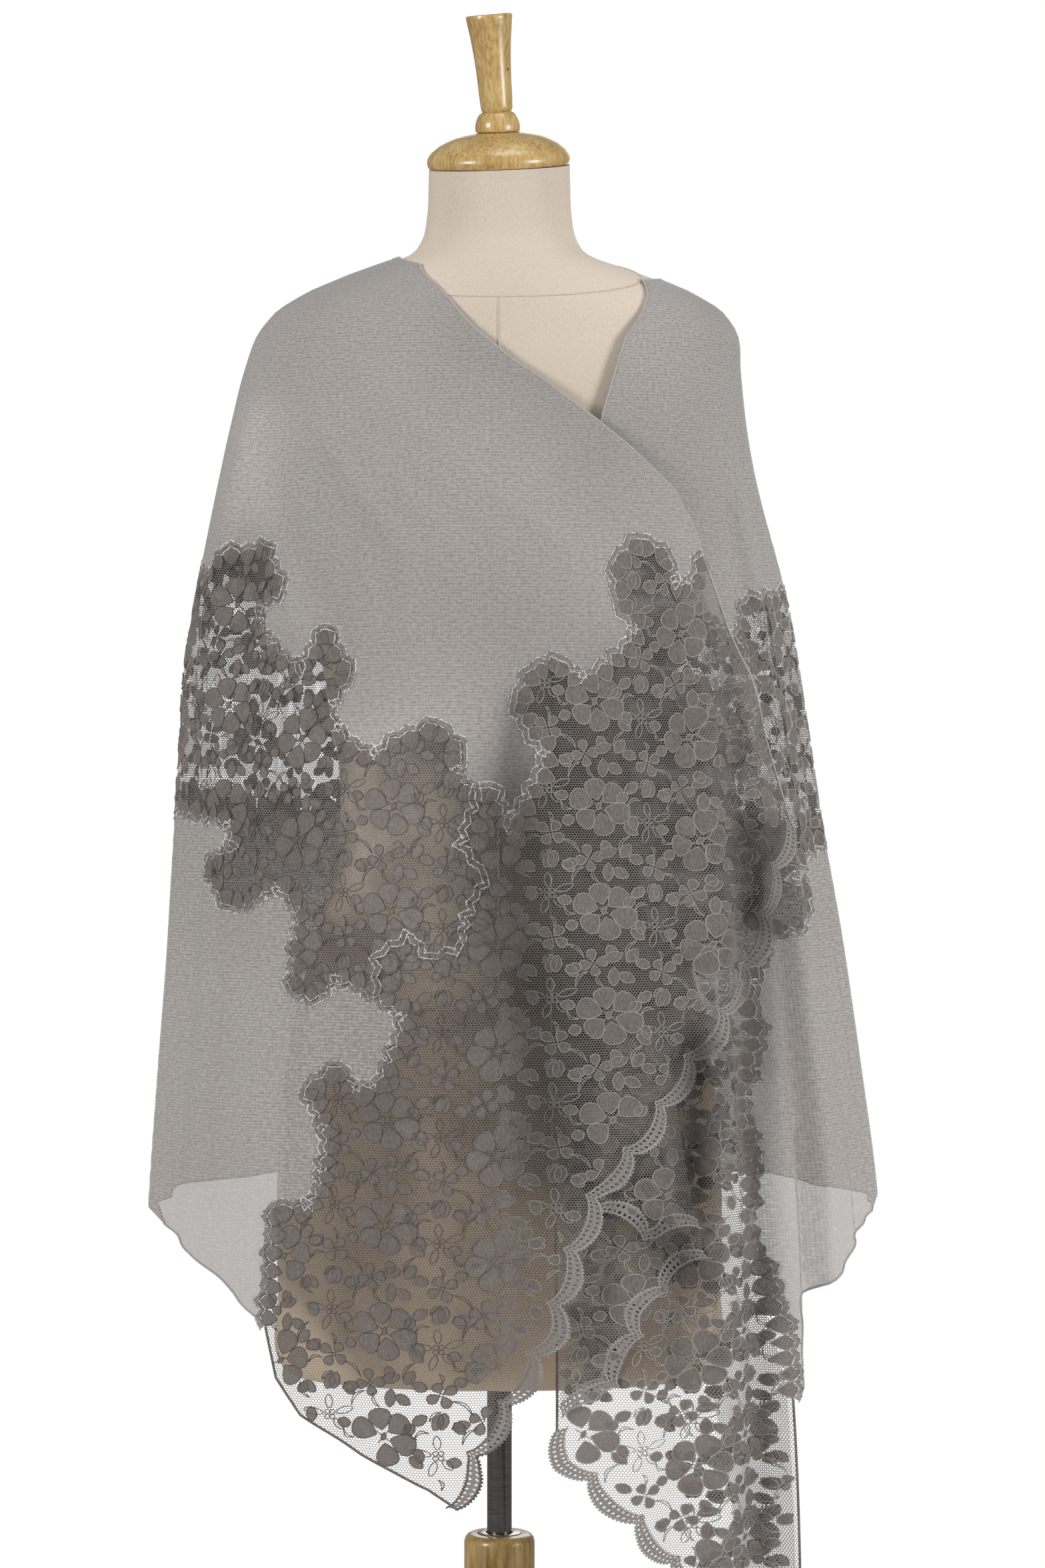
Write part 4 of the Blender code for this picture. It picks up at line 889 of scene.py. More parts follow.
lace_start = OVER_NECK.index(OVER_LACE_TOP[0])
over_neck = stepped(from_front(OVER_NECK[:lace_start + 1]))
over_neck_lace = stepped(from_front(OVER_NECK[lace_start:]))
back_neck = stepped(from_side(BACK_NECK))
under_neck = stepped(np.concatenate((from_side(BACK_NECK[-1:]), from_front(UNDER_NECK, 1))))
shoulder_neck = stepped(np.concatenate((from_side(BACK_NECK[:1]), from_front(OVER_NECK[:1]))))
hem_left = stepped(from_front(OVER_HEM_SIDE))
hem_back = stepped(from_side([
    (LEFT_SIDE + (RIGHT_SIDE - LEFT_SIDE) * i / 9,
     HEM_BACK[0] + (HEM_BACK[1] - HEM_BACK[0]) * i / 9 + HEM_BACK_DIP * math.sin(math.pi * i / 9))
    for i in range(10)]))
hem_right = stepped(from_front(UNDER_HEM_SIDE, 1))
hem_left[-1], hem_right[-1] = hem_back[0], hem_back[-1]

top_back, foot_back = petal_row(BAND_TOP_BACK), petal_row(BAND_FOOT_BACK)
band_top_left, band_foot_left = from_front(BAND_TOP_FRONT), from_front(BAND_FOOT_FRONT)
band_top_right, band_foot_right = from_front(BAND_TOP_RIGHT, 1), from_front(BAND_FOOT_RIGHT, 1)
band_top_left[-1], band_foot_left[-1] = top_back[0], foot_back[0]
band_top_right[-1], band_foot_right[-1] = top_back[-1], foot_back[-1]

# Each seam's petals stand out towards its crepe, or the neighbouring lace
over_lace_top = petalled(from_front(OVER_LACE_TOP), -1)
band_top_left, top_back = petalled(band_top_left, -1), petalled(top_back, -1)
band_top_right = petalled(band_top_right, 1)
under_lace_top = petalled(from_front(UNDER_LACE_TOP, 1), 1)
lace_joint = petalled(from_front(LACE_JOINT), 1)
band_foot_left, foot_back = petalled(band_foot_left, 1), petalled(foot_back, 1)
band_foot_right = petalled(band_foot_right, -1)
over_lace_side = petalled(from_front(OVER_LACE_SIDE), -1)
under_lace_joint = petalled(from_front(UNDER_LACE_JOINT, 1), 1)
under_lace_side = petalled(from_front(UNDER_LACE_SIDE, 1), 1)
over_end, over_inward = scalloped(from_front(OVER_END), 1)
under_end, under_inward = scalloped(from_front(UNDER_END, 1), -1)
over_hem = stepped(from_front(OVER_HEM))
under_hem = stepped(from_front(UNDER_HEM, 1))
under_neck_lace = stepped(from_front(UNDER_NECK_LACE, 1))

# The crepe
# The plain cloth of the stole: wool and silk crepe in grey-taupe, thin enough to let light through where it
# hangs single, and drawn closer over the shoulders. Overtwisted threads give it a pebbled face with small
# diamonds and short level crinkles.
CREPE_THICK = 0.0007
CREPE_STEPS = (0.0072, 0.0080)
DIAMOND = 0.0040            # one diamond of the weave, real size 2.5 mm, drawn this coarse so that it shows


def within(points, outline, margin=0.0):
    """Which points lie inside a closed outline, and further than margin from it."""
    starts, ends = outline, np.roll(outline, -1, axis=0)
    sides = ends - starts
    inside = np.zeros(len(points), dtype=bool)
    for first in range(0, len(points), 4000):
        part = points[first:first + 4000, None]
        spans = (starts[:, 1] > part[..., 1]) != (ends[:, 1] > part[..., 1])
        rise = np.where(sides[:, 1] == 0, 1.0, sides[:, 1])
        cross = starts[:, 0] + (part[..., 1] - starts[:, 1]) / rise * sides[:, 0]
        found = np.count_nonzero(spans & (cross > part[..., 0]), axis=1) % 2 == 1
        if margin:
            along = np.sum((part - starts) * sides, axis=2) / np.maximum(np.sum(sides * sides, axis=1), 1e-12)
            near = starts + sides * np.clip(along, 0.0, 1.0)[..., None]
            found &= np.linalg.norm(part - near, axis=2).min(axis=1) > margin
        inside[first:first + 4000] = found
    return inside


def shell(name, flat, faces, lift, thick, finish, laid_out=None):
    """A thin closed shell from flat faces, draped. Its UV map is the cloth laid flat, in metres."""
    faces = np.array(faces)
    corners = flat[faces]
    if np.cross(corners[:, 1] - corners[:, 0], corners[:, 2] - corners[:, 0]).sum() < 0:
        faces = faces[:, ::-1]
    lifts = lift(flat) if callable(lift) else np.full(len(flat), lift)
    count = len(flat)
    edges = np.concatenate([np.stack((faces[:, k - 1], faces[:, k]), axis=1) for k in range(faces.shape[1])])
    keys, times = np.unique(np.sort(edges, axis=1), axis=0, return_counts=True)
    rim = {tuple(pair) for pair in keys[times == 1].tolist()}
    sides = faces.tolist() + (faces[:, ::-1] + count).tolist()
    for a, b in edges.tolist():
        if (min(a, b), max(a, b)) in rim:
            sides.append((b, a, a + count, b + count))
    skin = np.concatenate((draped(flat, lifts + thick / 2), draped(flat, lifts - thick / 2)))
    sheet = new_piece(name, skin, sides, finish, 60.0)
    unrolled = flat if laid_out is None else laid_out
    laid = sheet.data.uv_layers.new(name="flat")
    places = np.zeros(len(sheet.data.loops), dtype=np.int32)
    sheet.data.loops.foreach_get("vertex_index", places)
    laid.data.foreach_set("uv", np.concatenate((unrolled, unrolled))[places].ravel())
    return sheet


def draped_sheet(name, outline, steps, thick, finish, lift=0.0):
    """A thin closed sheet over a flat outline, its longest sides, and its area laid flat."""
    low, high = outline.min(axis=0), outline.max(axis=0)
    grid = []
    for row, up in enumerate(np.arange(low[1], high[1], steps[1])):
        across = np.arange(low[0] + steps[0] * 0.5 * (row % 2), high[0], steps[0])
        line = np.stack((across, np.full(len(across), up)), axis=1)
        grid.append(line[within(line, outline, 0.4 * steps[0])])
    points = np.concatenate([outline] + grid)
    ring = list(range(len(outline)))
    verts, _, faces, _, _, _ = delaunay_2d_cdt(points.tolist(), [], [ring], 1, 1e-7)
    sheet = shell(name, np.array([tuple(v) for v in verts]), faces, lift, thick, finish)
    area = abs(np.sum(outline[:, 0] * np.roll(outline[:, 1], -1) - outline[:, 1] * np.roll(outline[:, 0], -1))) / 2
    return sheet, tuple(float(s) for s in high - low), float(area)


def weave_of(tree, across, up):
    """Small diamonds from two slanting waves, wavered by noise, from 0 to 1."""
    waves = []
    for lean in (0.82, -0.82):
        slant = put(tree, "ShaderNodeMath", {"operation": "MULTIPLY_ADD"}, {0: up, 1: lean, 2: across}).outputs[0]
        phase = put(tree, "ShaderNodeMath", {"operation": "MULTIPLY"}, {0: slant, 1: 2 * math.pi / DIAMOND})
        waves.append(put(tree, "ShaderNodeMath", {"operation": "SINE"}, {0: phase.outputs[0]}).outputs[0])
    both = put(tree, "ShaderNodeMath", {"operation": "MULTIPLY"}, {0: waves[0], 1: waves[1]}).outputs[0]
    return put(tree, "ShaderNodeMath", {"operation": "MULTIPLY_ADD"}, {0: both, 1: 0.5, 2: 0.5}).outputs[0]


crepe, tree, shader = new_finish(
    "wool_silk_crepe", Roughness=0.86, Sheen_Weight=0.35, Sheen_Roughness=0.45, Specular_IOR_Level=0.25)
laid = put(tree, "ShaderNodeUVMap", {"uv_map": "flat"}).outputs[0]
waver = put(tree, "ShaderNodeTexNoise", {}, {"Vector": laid, "Scale": 260.0, "Detail": 1.0}).outputs[1]
small = put(tree, "ShaderNodeVectorMath", {"operation": "SCALE"}, {0: waver, "Scale": 0.0016}).outputs[0]
wavered = put(tree, "ShaderNodeVectorMath", {"operation": "ADD"}, {0: laid, 1: small}).outputs[0]
axes = put(tree, "ShaderNodeSeparateXYZ", {}, {0: wavered}).outputs
weave = weave_of(tree, axes[0], axes[1])
level = put(tree, "ShaderNodeMapping", {}, {"Vector": laid, "Scale": (0.6, 1.0, 1.0)}).outputs[0]
crinkle = put(tree, "ShaderNodeTexNoise", {}, {
    "Vector": level, "Scale": 420.0, "Detail": 3.0, "Roughness": 0.6}).outputs[0]
relief = put(tree, "ShaderNodeMath", {"operation": "MULTIPLY_ADD"}, {0: weave, 1: 0.32, 2: crinkle}).outputs[0]
broad = put(tree, "ShaderNodeTexNoise", {}, {"Vector": laid, "Scale": 7.0, "Detail": 4.0}).outputs[0]
tone = put(tree, "ShaderNodeMix", {"data_type": "RGBA"}, {0: broad, 6: linear("#aba5a1"), 7: linear("#bab5b1")})
height = put(tree, "ShaderNodeSeparateXYZ", {}, {0: put(tree, "ShaderNodeTexCoord").outputs["Object"]}).outputs[2]
closer = put(tree, "ShaderNodeMapRange", {}, {0: height, 1: 0.86, 2: 1.04}).outputs[0]
pebbled = put(tree, "ShaderNodeMapRange", {}, {0: relief, 1: 0.40, 2: 0.85, 3: -1.0, 4: 1.0}).outputs[0]
depth = put(tree, "ShaderNodeMapRange", {}, {0: closer, 3: 0.20, 4: 0.09}).outputs[0]
shade = put(tree, "ShaderNodeMath", {"operation": "MULTIPLY_ADD"}, {0: pebbled, 1: depth, 2: 0.97}).outputs[0]
# Above 0.86 m the colour darkens, by a fifth at 1.04 m and above
deeper = put(tree, "ShaderNodeMapRange", {}, {0: closer, 3: 1.0, 4: 0.80}).outputs[0]
shade = put(tree, "ShaderNodeMath", {"operation": "MULTIPLY"}, {0: shade, 1: deeper}).outputs[0]
woven = put(tree, "ShaderNodeMix", {"data_type": "RGBA", "blend_type": "MULTIPLY"}, {
    0: 1.0, 6: tone.outputs[2], 7: shade})
# painted shade and painted light from the folds' "light" values
paint_fold_light(crepe, woven.outputs[2])
thin = put(tree, "ShaderNodeMapRange", {}, {0: relief, 1: 0.40, 2: 0.90, 3: 0.38, 4: 0.74}).outputs[0]
cover = put(tree, "ShaderNodeMath", {"operation": "MULTIPLY_ADD"}, {0: closer, 1: 0.34, 2: thin}).outputs[0]
tree.links.new(cover, shader.inputs["Alpha"])
bump = put(tree, "ShaderNodeBump", {}, {"Strength": 0.7, "Distance": 0.0006, "Height": relief})
tree.links.new(bump.outputs[0], shader.inputs["Normal"])

upper_outline = joined(
    shoulder_neck, over_neck, over_lace_top, band_top_left, top_back, band_top_right[::-1], under_lace_top[::-1],
    under_neck[::-1], back_neck[::-1])
hem_outline = joined(
    band_foot_left, foot_back, band_foot_right[::-1], under_lace_side, hem_right, hem_back[::-1], hem_left[::-1],
    over_lace_side[::-1])
crepe_upper, upper_size, upper_area = draped_sheet("crepe_upper", upper_outline, CREPE_STEPS, CREPE_THICK, crepe)
crepe_hem, hem_size, hem_area = draped_sheet("crepe_hem", hem_outline, CREPE_STEPS, CREPE_THICK, crepe)
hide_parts("over_front_cloth", "back_cloth", "under_front_cloth")
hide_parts("hem_cloth_left", "hem_cloth_back", "hem_cloth_right")

# The lace's net
# A machine-made hexagonal net of fine nylon, the ground that the flowers are worked on. It is mostly holes:
# dark cloth behind shows its threads pale, and light behind them shows them grey.
NET_THICK = 0.0004
NET_STEPS = (0.0064, 0.0072)
NET_PITCH = 0.0021          # one mesh of the net, real size 1.4 mm, drawn this coarse so that it shows
NET_THREAD = 0.09           # a thread's share of the mesh, to each side

net, tree, shader = new_finish("hexagonal_nylon_net", Roughness=0.7, Sheen_Weight=0.2, Specular_IOR_Level=0.3)
laid = put(tree, "ShaderNodeUVMap", {"uv_map": "flat"}).outputs[0]
cells = put(tree, "ShaderNodeVectorMath", {"operation": "SCALE"}, {0: laid, "Scale": 1 / NET_PITCH}).outputs[0]
half_cell = (0.5, math.sqrt(3) / 2, 0.0)
nearest = []
for start in ((0.0, 0.0, 0.0), half_cell):
    moved = put(tree, "ShaderNodeVectorMath", {"operation": "ADD"}, {0: cells, 1: start}).outputs[0]
    wrapped = put(tree, "ShaderNodeVectorMath", {"operation": "WRAP"}, {
        0: moved, 1: half_cell, 2: tuple(-c for c in half_cell[:2]) + (-1.0,)}).outputs[0]
    nearest.append(put(tree, "ShaderNodeVectorMath", {"operation": "MULTIPLY"}, {
        0: wrapped, 1: (1.0, 1.0, 0.0)}).outputs[0])
far = [put(tree, "ShaderNodeVectorMath", {"operation": "LENGTH"}, {0: n}).outputs[1] for n in nearest]
second = put(tree, "ShaderNodeMath", {"operation": "LESS_THAN"}, {0: far[1], 1: far[0]}).outputs[0]
cell = put(tree, "ShaderNodeMix", {"data_type": "VECTOR"}, {0: second, 4: nearest[0], 5: nearest[1]}).outputs[1]
folded = put(tree, "ShaderNodeVectorMath", {"operation": "ABSOLUTE"}, {0: cell}).outputs[0]
slanted = put(tree, "ShaderNodeVectorMath", {"operation": "DOT_PRODUCT"}, {
    0: folded, 1: (0.5, math.sqrt(3) / 2, 0.0)}).outputs[1]
upright = put(tree, "ShaderNodeSeparateXYZ", {}, {0: folded}).outputs[0]
reach = put(tree, "ShaderNodeMath", {"operation": "MAXIMUM"}, {0: slanted, 1: upright}).outputs[0]
thread = put(tree, "ShaderNodeMapRange", {}, {0: reach, 1: 0.5 - NET_THREAD, 2: 0.5 - 0.6 * NET_THREAD})
tree.links.new(thread.outputs[0], shader.inputs["Alpha"])
broad = put(tree, "ShaderNodeTexNoise", {}, {"Vector": laid, "Scale": 30.0, "Detail": 2.0}).outputs[0]
tone = put(tree, "ShaderNodeMix", {"data_type": "RGBA"}, {0: broad, 6: linear("#78716d"), 7: linear("#938d88")})
# painted shade and painted light from the folds' "light" values
paint_fold_light(net, tone.outputs[2])

over_outline = joined(over_neck_lace, over_end, over_hem, over_lace_side[::-1], lace_joint[::-1], over_lace_top[::-1])
under_outline = joined(
    under_neck_lace, under_end, under_hem, under_lace_side[::-1], under_lace_joint[::-1], under_lace_top[::-1])
band_outline = joined(
    band_top_left, top_back, band_top_right[::-1], under_lace_joint, band_foot_right, foot_back[::-1],
    band_foot_left[::-1], lace_joint[::-1])
lace_sheets = {}
for name, outline, nodes in (
    ("over_end_net", over_outline, ("over_front_lace",)),
    ("under_end_net", under_outline, ("under_front_lace",)),
    ("band_net", band_outline, ("lace_band_left", "lace_band_back", "lace_band_right")),
):
    sheet, size, area = draped_sheet(name, outline, NET_STEPS, NET_THICK, net)
    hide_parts(*nodes)
    lace_sheets[name] = (sheet, size, area, outline)

# The lace's flowers
# Worked on the net in a half-drop repeat: open six-petalled flowers, small four-petalled ones, sprigs of
# narrow leaves round four loops, and double-lined stems. Each shape is a close darned filling with a cord
# laid round it, so it is a plate with a raised rim.
MM = 0.001
REPEAT = (156 * MM, 80 * MM)
CORD_WIDTH = 0.7 * MM
CORD_RISE = 0.60 * MM
FILL_RISE = 0.25 * MM
OVERLAY = 0.03 * MM         # each shape lies this much over the one before, in turns of six
FLOWER_LIFT = NET_THICK / 2


def teardrop(length, width, count, pointed=False):
    """A petal's outline along +X from its root, or a leaf's where both ends are pointed."""
    points = []
    for i in range(count):
        angle = 2 * math.pi * (i + 0.5) / count
        swell = abs(math.sin(angle)) ** 0.5 if pointed else abs(math.sin(angle / 2)) ** 0.8
        points.append((length * (1 - math.cos(angle)) / 2, -width / 2 * math.sin(angle) * swell))
    return np.array(points)


def turned_to(points, at, degrees):
    turn = math.radians(degrees)
    spin = np.array(((math.cos(turn), math.sin(turn)), (-math.sin(turn), math.cos(turn))))
    return points @ spin + np.array(at)


class Motif:
    """Collects a repeat's shapes: points, faces, which faces are cord, and each point's shape number."""

    def __init__(self):
        self.points, self.faces, self.corded, self.shapes, self.count = [], [], [], [], 0

    def add(self, points, faces, corded):
        first = len(self.points)
        self.points.extend(points)
        self.faces.extend([tuple(first + i for i in face) for face in faces])
        self.corded.extend(corded)
        self.shapes.extend([self.count] * len(points))
        self.count += 1

    def plate(self, outline):
        """A petal or leaf: its filling, with the cord raised round it."""
        count = len(outline)
        inward = outline.mean(axis=0) - outline
        inward /= np.linalg.norm(inward, axis=1)[:, None]
        rings = ((0.0, 0.0), (CORD_WIDTH / 2, CORD_RISE), (CORD_WIDTH, FILL_RISE))
        over = OVERLAY * (self.count % 6)
        points = [(*(outline[i] + inward[i] * inset), rise + over) for inset, rise in rings for i in range(count)]
        faces = [tuple(range(count))[::-1], tuple(2 * count + i for i in range(count))]
        for row in (0, count):
            faces.extend((row + i, row + (i + 1) % count, row + count + (i + 1) % count, row + count + i)
                         for i in range(count))
        self.add(points, faces, [0, 0] + [1] * (2 * count))

    def line(self, route, closed=False):
        """A cord alone, such as a stem or a small loop."""
        route = np.array(route)
        ahead = np.roll(route, -1, axis=0) if closed else np.vstack((route[1:], route[-1:]))
        behind = np.roll(route, 1, axis=0) if closed else np.vstack((route[:1], route[:-1]))
        way = ahead - behind
        side = np.stack((-way[:, 1], way[:, 0]), axis=1) / np.linalg.norm(way, axis=1)[:, None] * CORD_WIDTH / 2
        points = []
        for middle, reach in zip(route, side):
            points.extend(((*(middle + reach), 0.0), (*middle, CORD_RISE), (*(middle - reach), 0.0)))
        faces = []
        count = len(route)
        for i in range(count if closed else count - 1):
            near, far = 3 * i, 3 * ((i + 1) % count)
            for a, b in ((0, 1), (1, 2), (2, 0)):
                faces.append((near + a, near + b, far + b, far + a))
        if not closed:
            faces.extend(((0, 2, 1), (3 * count - 3, 3 * count - 2, 3 * count - 1)))
        self.add(points, faces, [1] * len(faces))

    def ring(self, at, radius, count=8):
        angles = [2 * math.pi * i / count for i in range(count)]
        self.line([(at[0] + radius * math.cos(a), at[1] + radius * math.sin(a)) for a in angles], True)

    def flower(self, at, turn, petals, root, length, width, count):
        """Petals round an open middle, each a little longer or shorter than the next."""
        for i in range(petals):
            angle = turn + 360 * i / petals
            sway = 1 + 0.10 * math.sin(2.3 * i + turn)
            base = turned_to(np.array(((root, 0.0),)), at, angle)[0]
            self.plate(turned_to(teardrop(length * sway, width, count), base, angle))

    def stem(self, start, end, bow, gap=1.9 * MM):
        """Two cords side by side along a bowed way, closing at both ends."""
        start, end = np.array(start), np.array(end)
        run = end - start
        left = np.array((-run[1], run[0]))
        left = left / np.linalg.norm(left)
        for side in (-0.5, 0.5):
            parts = np.linspace(0.0, 1.0, 8)
            self.line([start + run * p + left * (bow + side * gap) * math.sin(math.pi * p) for p in parts])


def new_motif_object(name, motif):
    """The motif as an object that trees can set out, with its cord faces and shape numbers kept."""
    data = bpy.data.meshes.new(name)
    data.from_pydata([tuple(float(c) for c in p) for p in motif.points], [], motif.faces)
    corded = data.attributes.new("corded", "BOOLEAN", "FACE")
    corded.data.foreach_set("value", motif.corded)
    shapes = data.attributes.new("shape", "INT", "POINT")
    shapes.data.foreach_set("value", motif.shapes)
    made = bpy.data.objects.new(name, data)
    bpy.context.scene.collection.objects.link(made)
    made.hide_render = True
    return made


# What stands round each big flower, in mm from its middle: small flowers, sprigs, leaves with their bearings and
# lengths, and double stems with their bows
SMALL_FLOWERS = ((-38, -20, 15), (-10, -40, 60))
SPRIGS = ((-40, 14, 0),)
LEAVES = (
    (-2, -38, 20, 15), (-18, -42, 195, 14), (8, -48, 330, 13), (-38, -34, 250, 14), (-30, -12, 15, 10),
    (-47, -16, 160, 12), (-38, 33, 80, 14), (4, 22, 85, 15), (20, 10, 35, 13), (18, -14, 320, 13),
    (-22, 30, 130, 12), (-52, 8, 100, 12), (-24, 8, 175, 11), (-56, -2, 235, 13), (2, -26, 290, 11),
    (-64, 30, 40, 11),
)
STEMS = (
    (-31, -25, -17, -36, 3), (-40, -4, -38, -12, 2), (-8, -47, -3, -58, -2), (-54, 26, -62, 38, 3),
    (-56, 4, -64, -10, -3), (-24, 22, -14, 34, 3), (22, 0, 32, 4, 3), (-46, 40, -38, 47, 2), (-22, -2, -30, 4, 3),
)

repeat = Motif()
for column, row, turn in ((0, 0, 12.0), (78, 27, 41.0)):
    middle = np.array((column * MM, row * MM))
    repeat.flower(middle, turn, 6, 4.8 * MM, 18.2 * MM, 21.5 * MM, 16)
    heart = turned_to(np.array(((-3.6 * MM, 0.0),)), middle, turn + 30)[0]
    repeat.plate(turned_to(teardrop(7.2 * MM, 4.4 * MM, 8, True), heart, turn + 30))
    for i in range(4):
        repeat.line(turned_to(np.array(((1.6 * MM, 0.0), (6.4 * MM, 0.0))), middle, turn + 90 * i + 12))
    for across, up, lean in SMALL_FLOWERS:
        spot = middle + np.array((across, up)) * MM
        repeat.flower(spot, lean + turn, 4, 1.2 * MM, 9.6 * MM, 10.5 * MM, 10)
        repeat.ring(spot, 1.3 * MM, 6)
    for across, up, lean in SPRIGS:
        spot = middle + np.array((across, up)) * MM
        for i in range(4):
            repeat.ring(turned_to(np.array(((2.6 * MM, 0.0),)), spot, lean + 45 + 90 * i)[0], 1.8 * MM)
        for bearing, length in ((20, 14), (95, 11), (170, 15), (250, 12), (312, 10)):
            base = turned_to(np.array(((4.4 * MM, 0.0),)), spot, lean + bearing)[0]
            repeat.line(turned_to(teardrop(length * MM, 5.2 * MM, 10, True), base, lean + bearing), True)
    for across, up, bearing, length in LEAVES:
        spot = middle + np.array((across, up)) * MM
        repeat.plate(turned_to(teardrop(length * MM, 8.8 * MM, 10, True), spot, bearing))
    for from_x, from_y, to_x, to_y, bow in STEMS:
        repeat.stem(middle + np.array((from_x, from_y)) * MM, middle + np.array((to_x, to_y)) * MM, bow * MM)
repeat_motif = new_motif_object("lace_repeat", repeat)

# Darned filling of fine matt nylon, seen as cloth a shade darker than the net, with faint darning lines
filling, tree, shader = new_finish(
    "darned_lace_filling", Roughness=0.75, Sheen_Weight=0.25, Sheen_Roughness=0.5, Specular_IOR_Level=0.25)
place = put(tree, "ShaderNodeTexCoord").outputs["Object"]
darning = put(tree, "ShaderNodeMapping", {}, {"Vector": place, "Scale": (1.0, 1.0, 0.4)}).outputs[0]
lines = put(tree, "ShaderNodeTexNoise", {}, {"Vector": darning, "Scale": 800.0, "Detail": 2.0}).outputs[0]
broad = put(tree, "ShaderNodeTexNoise", {}, {"Vector": place, "Scale": 12.0, "Detail": 3.0}).outputs[0]
tone = put(tree, "ShaderNodeMix", {"data_type": "RGBA"}, {0: broad, 6: linear("#6a625d"), 7: linear("#877f7a")})
shade = put(tree, "ShaderNodeMapRange", {}, {0: lines, 1: 0.3, 2: 0.7, 3: 0.82, 4: 1.08}).outputs[0]
darned = put(tree, "ShaderNodeMix", {"data_type": "RGBA", "blend_type": "MULTIPLY"}, {
    0: 1.0, 6: tone.outputs[2], 7: shade})
# painted shade and painted light from the folds' "light" values
paint_fold_light(filling, darned.outputs[2])
open_work = put(tree, "ShaderNodeMapRange", {}, {0: lines, 1: 0.3, 2: 0.7, 3: 0.62, 4: 0.90}).outputs[0]
tree.links.new(open_work, shader.inputs["Alpha"])

# Outline cord of lustrous rayon in painted light and shade: silvery lit on the right, dark shaded on the left half
outline_cord, tree, shader = new_finish("rayon_outline_cord", Roughness=0.5, Sheen_Weight=0.3)
place = put(tree, "ShaderNodeTexCoord").outputs["Object"]
twist = put(tree, "ShaderNodeTexNoise", {}, {"Vector": place, "Scale": 500.0, "Detail": 2.0}).outputs[0]
waver = put(tree, "ShaderNodeTexNoise", {}, {"Vector": place, "Scale": 14.0, "Detail": 2.0}).outputs[0]
sideways = put(tree, "ShaderNodeSeparateXYZ", {}, {0: place}).outputs[0]
shifted = put(tree, "ShaderNodeMath", {"operation": "MULTIPLY_ADD"}, {0: waver, 1: 0.12, 2: sideways}).outputs[0]
from_middle = put(tree, "ShaderNodeMath", {"operation": "SUBTRACT"}, {0: shifted, 1: -0.010}).outputs[0]
either = put(tree, "ShaderNodeMath", {"operation": "ABSOLUTE"}, {0: from_middle}).outputs[0]
right = put(tree, "ShaderNodeMath", {"operation": "GREATER_THAN"}, {0: from_middle, 1: 0.0}).outputs[0]
nearer = put(tree, "ShaderNodeMath", {"operation": "MULTIPLY_ADD"}, {0: right, 1: 0.095, 2: either}).outputs[0]
# painted light and shade: the cord's tone is set by where it lies across the front
lit = put(tree, "ShaderNodeMapRange", {}, {0: nearer, 1: 0.15, 2: 0.21}).outputs[0]
painted_shade_cord = put(tree, "ShaderNodeMix", {"data_type": "RGBA"}, {0: twist, 6: linear("#352e2b"), 7: linear("#5f5652")})
bright = put(tree, "ShaderNodeMix", {"data_type": "RGBA"}, {0: twist, 6: linear("#7d7773"), 7: linear("#b2aeaa")})
tone = put(tree, "ShaderNodeMix", {"data_type": "RGBA"}, {0: lit, 6: painted_shade_cord.outputs[2], 7: bright.outputs[2]})
# painted shade and painted light from the folds' "light" values
paint_fold_light(outline_cord, tone.outputs[2])

repeat_tree = bpy.data.node_groups.new("lace_repeats", "GeometryNodeTree")
repeat_tree.interface.new_socket("Geometry", in_out="INPUT", socket_type="NodeSocketGeometry")
for label, kind in (("Motif", "Object"), ("Filling", "Material"), ("Cord", "Material")):
    repeat_tree.interface.new_socket(label, in_out="INPUT", socket_type=f"NodeSocket{kind}")
repeat_tree.interface.new_socket("Geometry", in_out="OUTPUT", socket_type="NodeSocketGeometry")
given = put(repeat_tree, "NodeGroupInput").outputs
spots = put(repeat_tree, "GeometryNodeMeshToPoints", {}, {0: given["Geometry"]})
number = put(repeat_tree, "GeometryNodeInputIndex")
numbered = put(repeat_tree, "GeometryNodeStoreNamedAttribute", {"data_type": "INT", "domain": "POINT"}, {
    "Geometry": spots.outputs[0], "Name": "tile", "Value": number.outputs[0]})
motif_in = put(repeat_tree, "GeometryNodeObjectInfo", {}, {"Object": given["Motif"]})
placed = put(repeat_tree, "GeometryNodeInstanceOnPoints", {}, {
    "Points": numbered.outputs[0], "Instance": motif_in.outputs["Geometry"]})
whole = put(repeat_tree, "GeometryNodeRealizeInstances", {}, {0: placed.outputs[0]})
filled = put(repeat_tree, "GeometryNodeSetMaterial", {}, {"Geometry": whole.outputs[0], "Material": given["Filling"]})
is_cord = put(repeat_tree, "GeometryNodeInputNamedAttribute", {"data_type": "BOOLEAN"}, {"Name": "corded"})
corded = put(repeat_tree, "GeometryNodeSetMaterial", {}, {
    "Geometry": filled.outputs[0], "Selection": is_cord.outputs[0], "Material": given["Cord"]})
put(repeat_tree, "NodeGroupOutput", {}, {0: corded.outputs[0]})


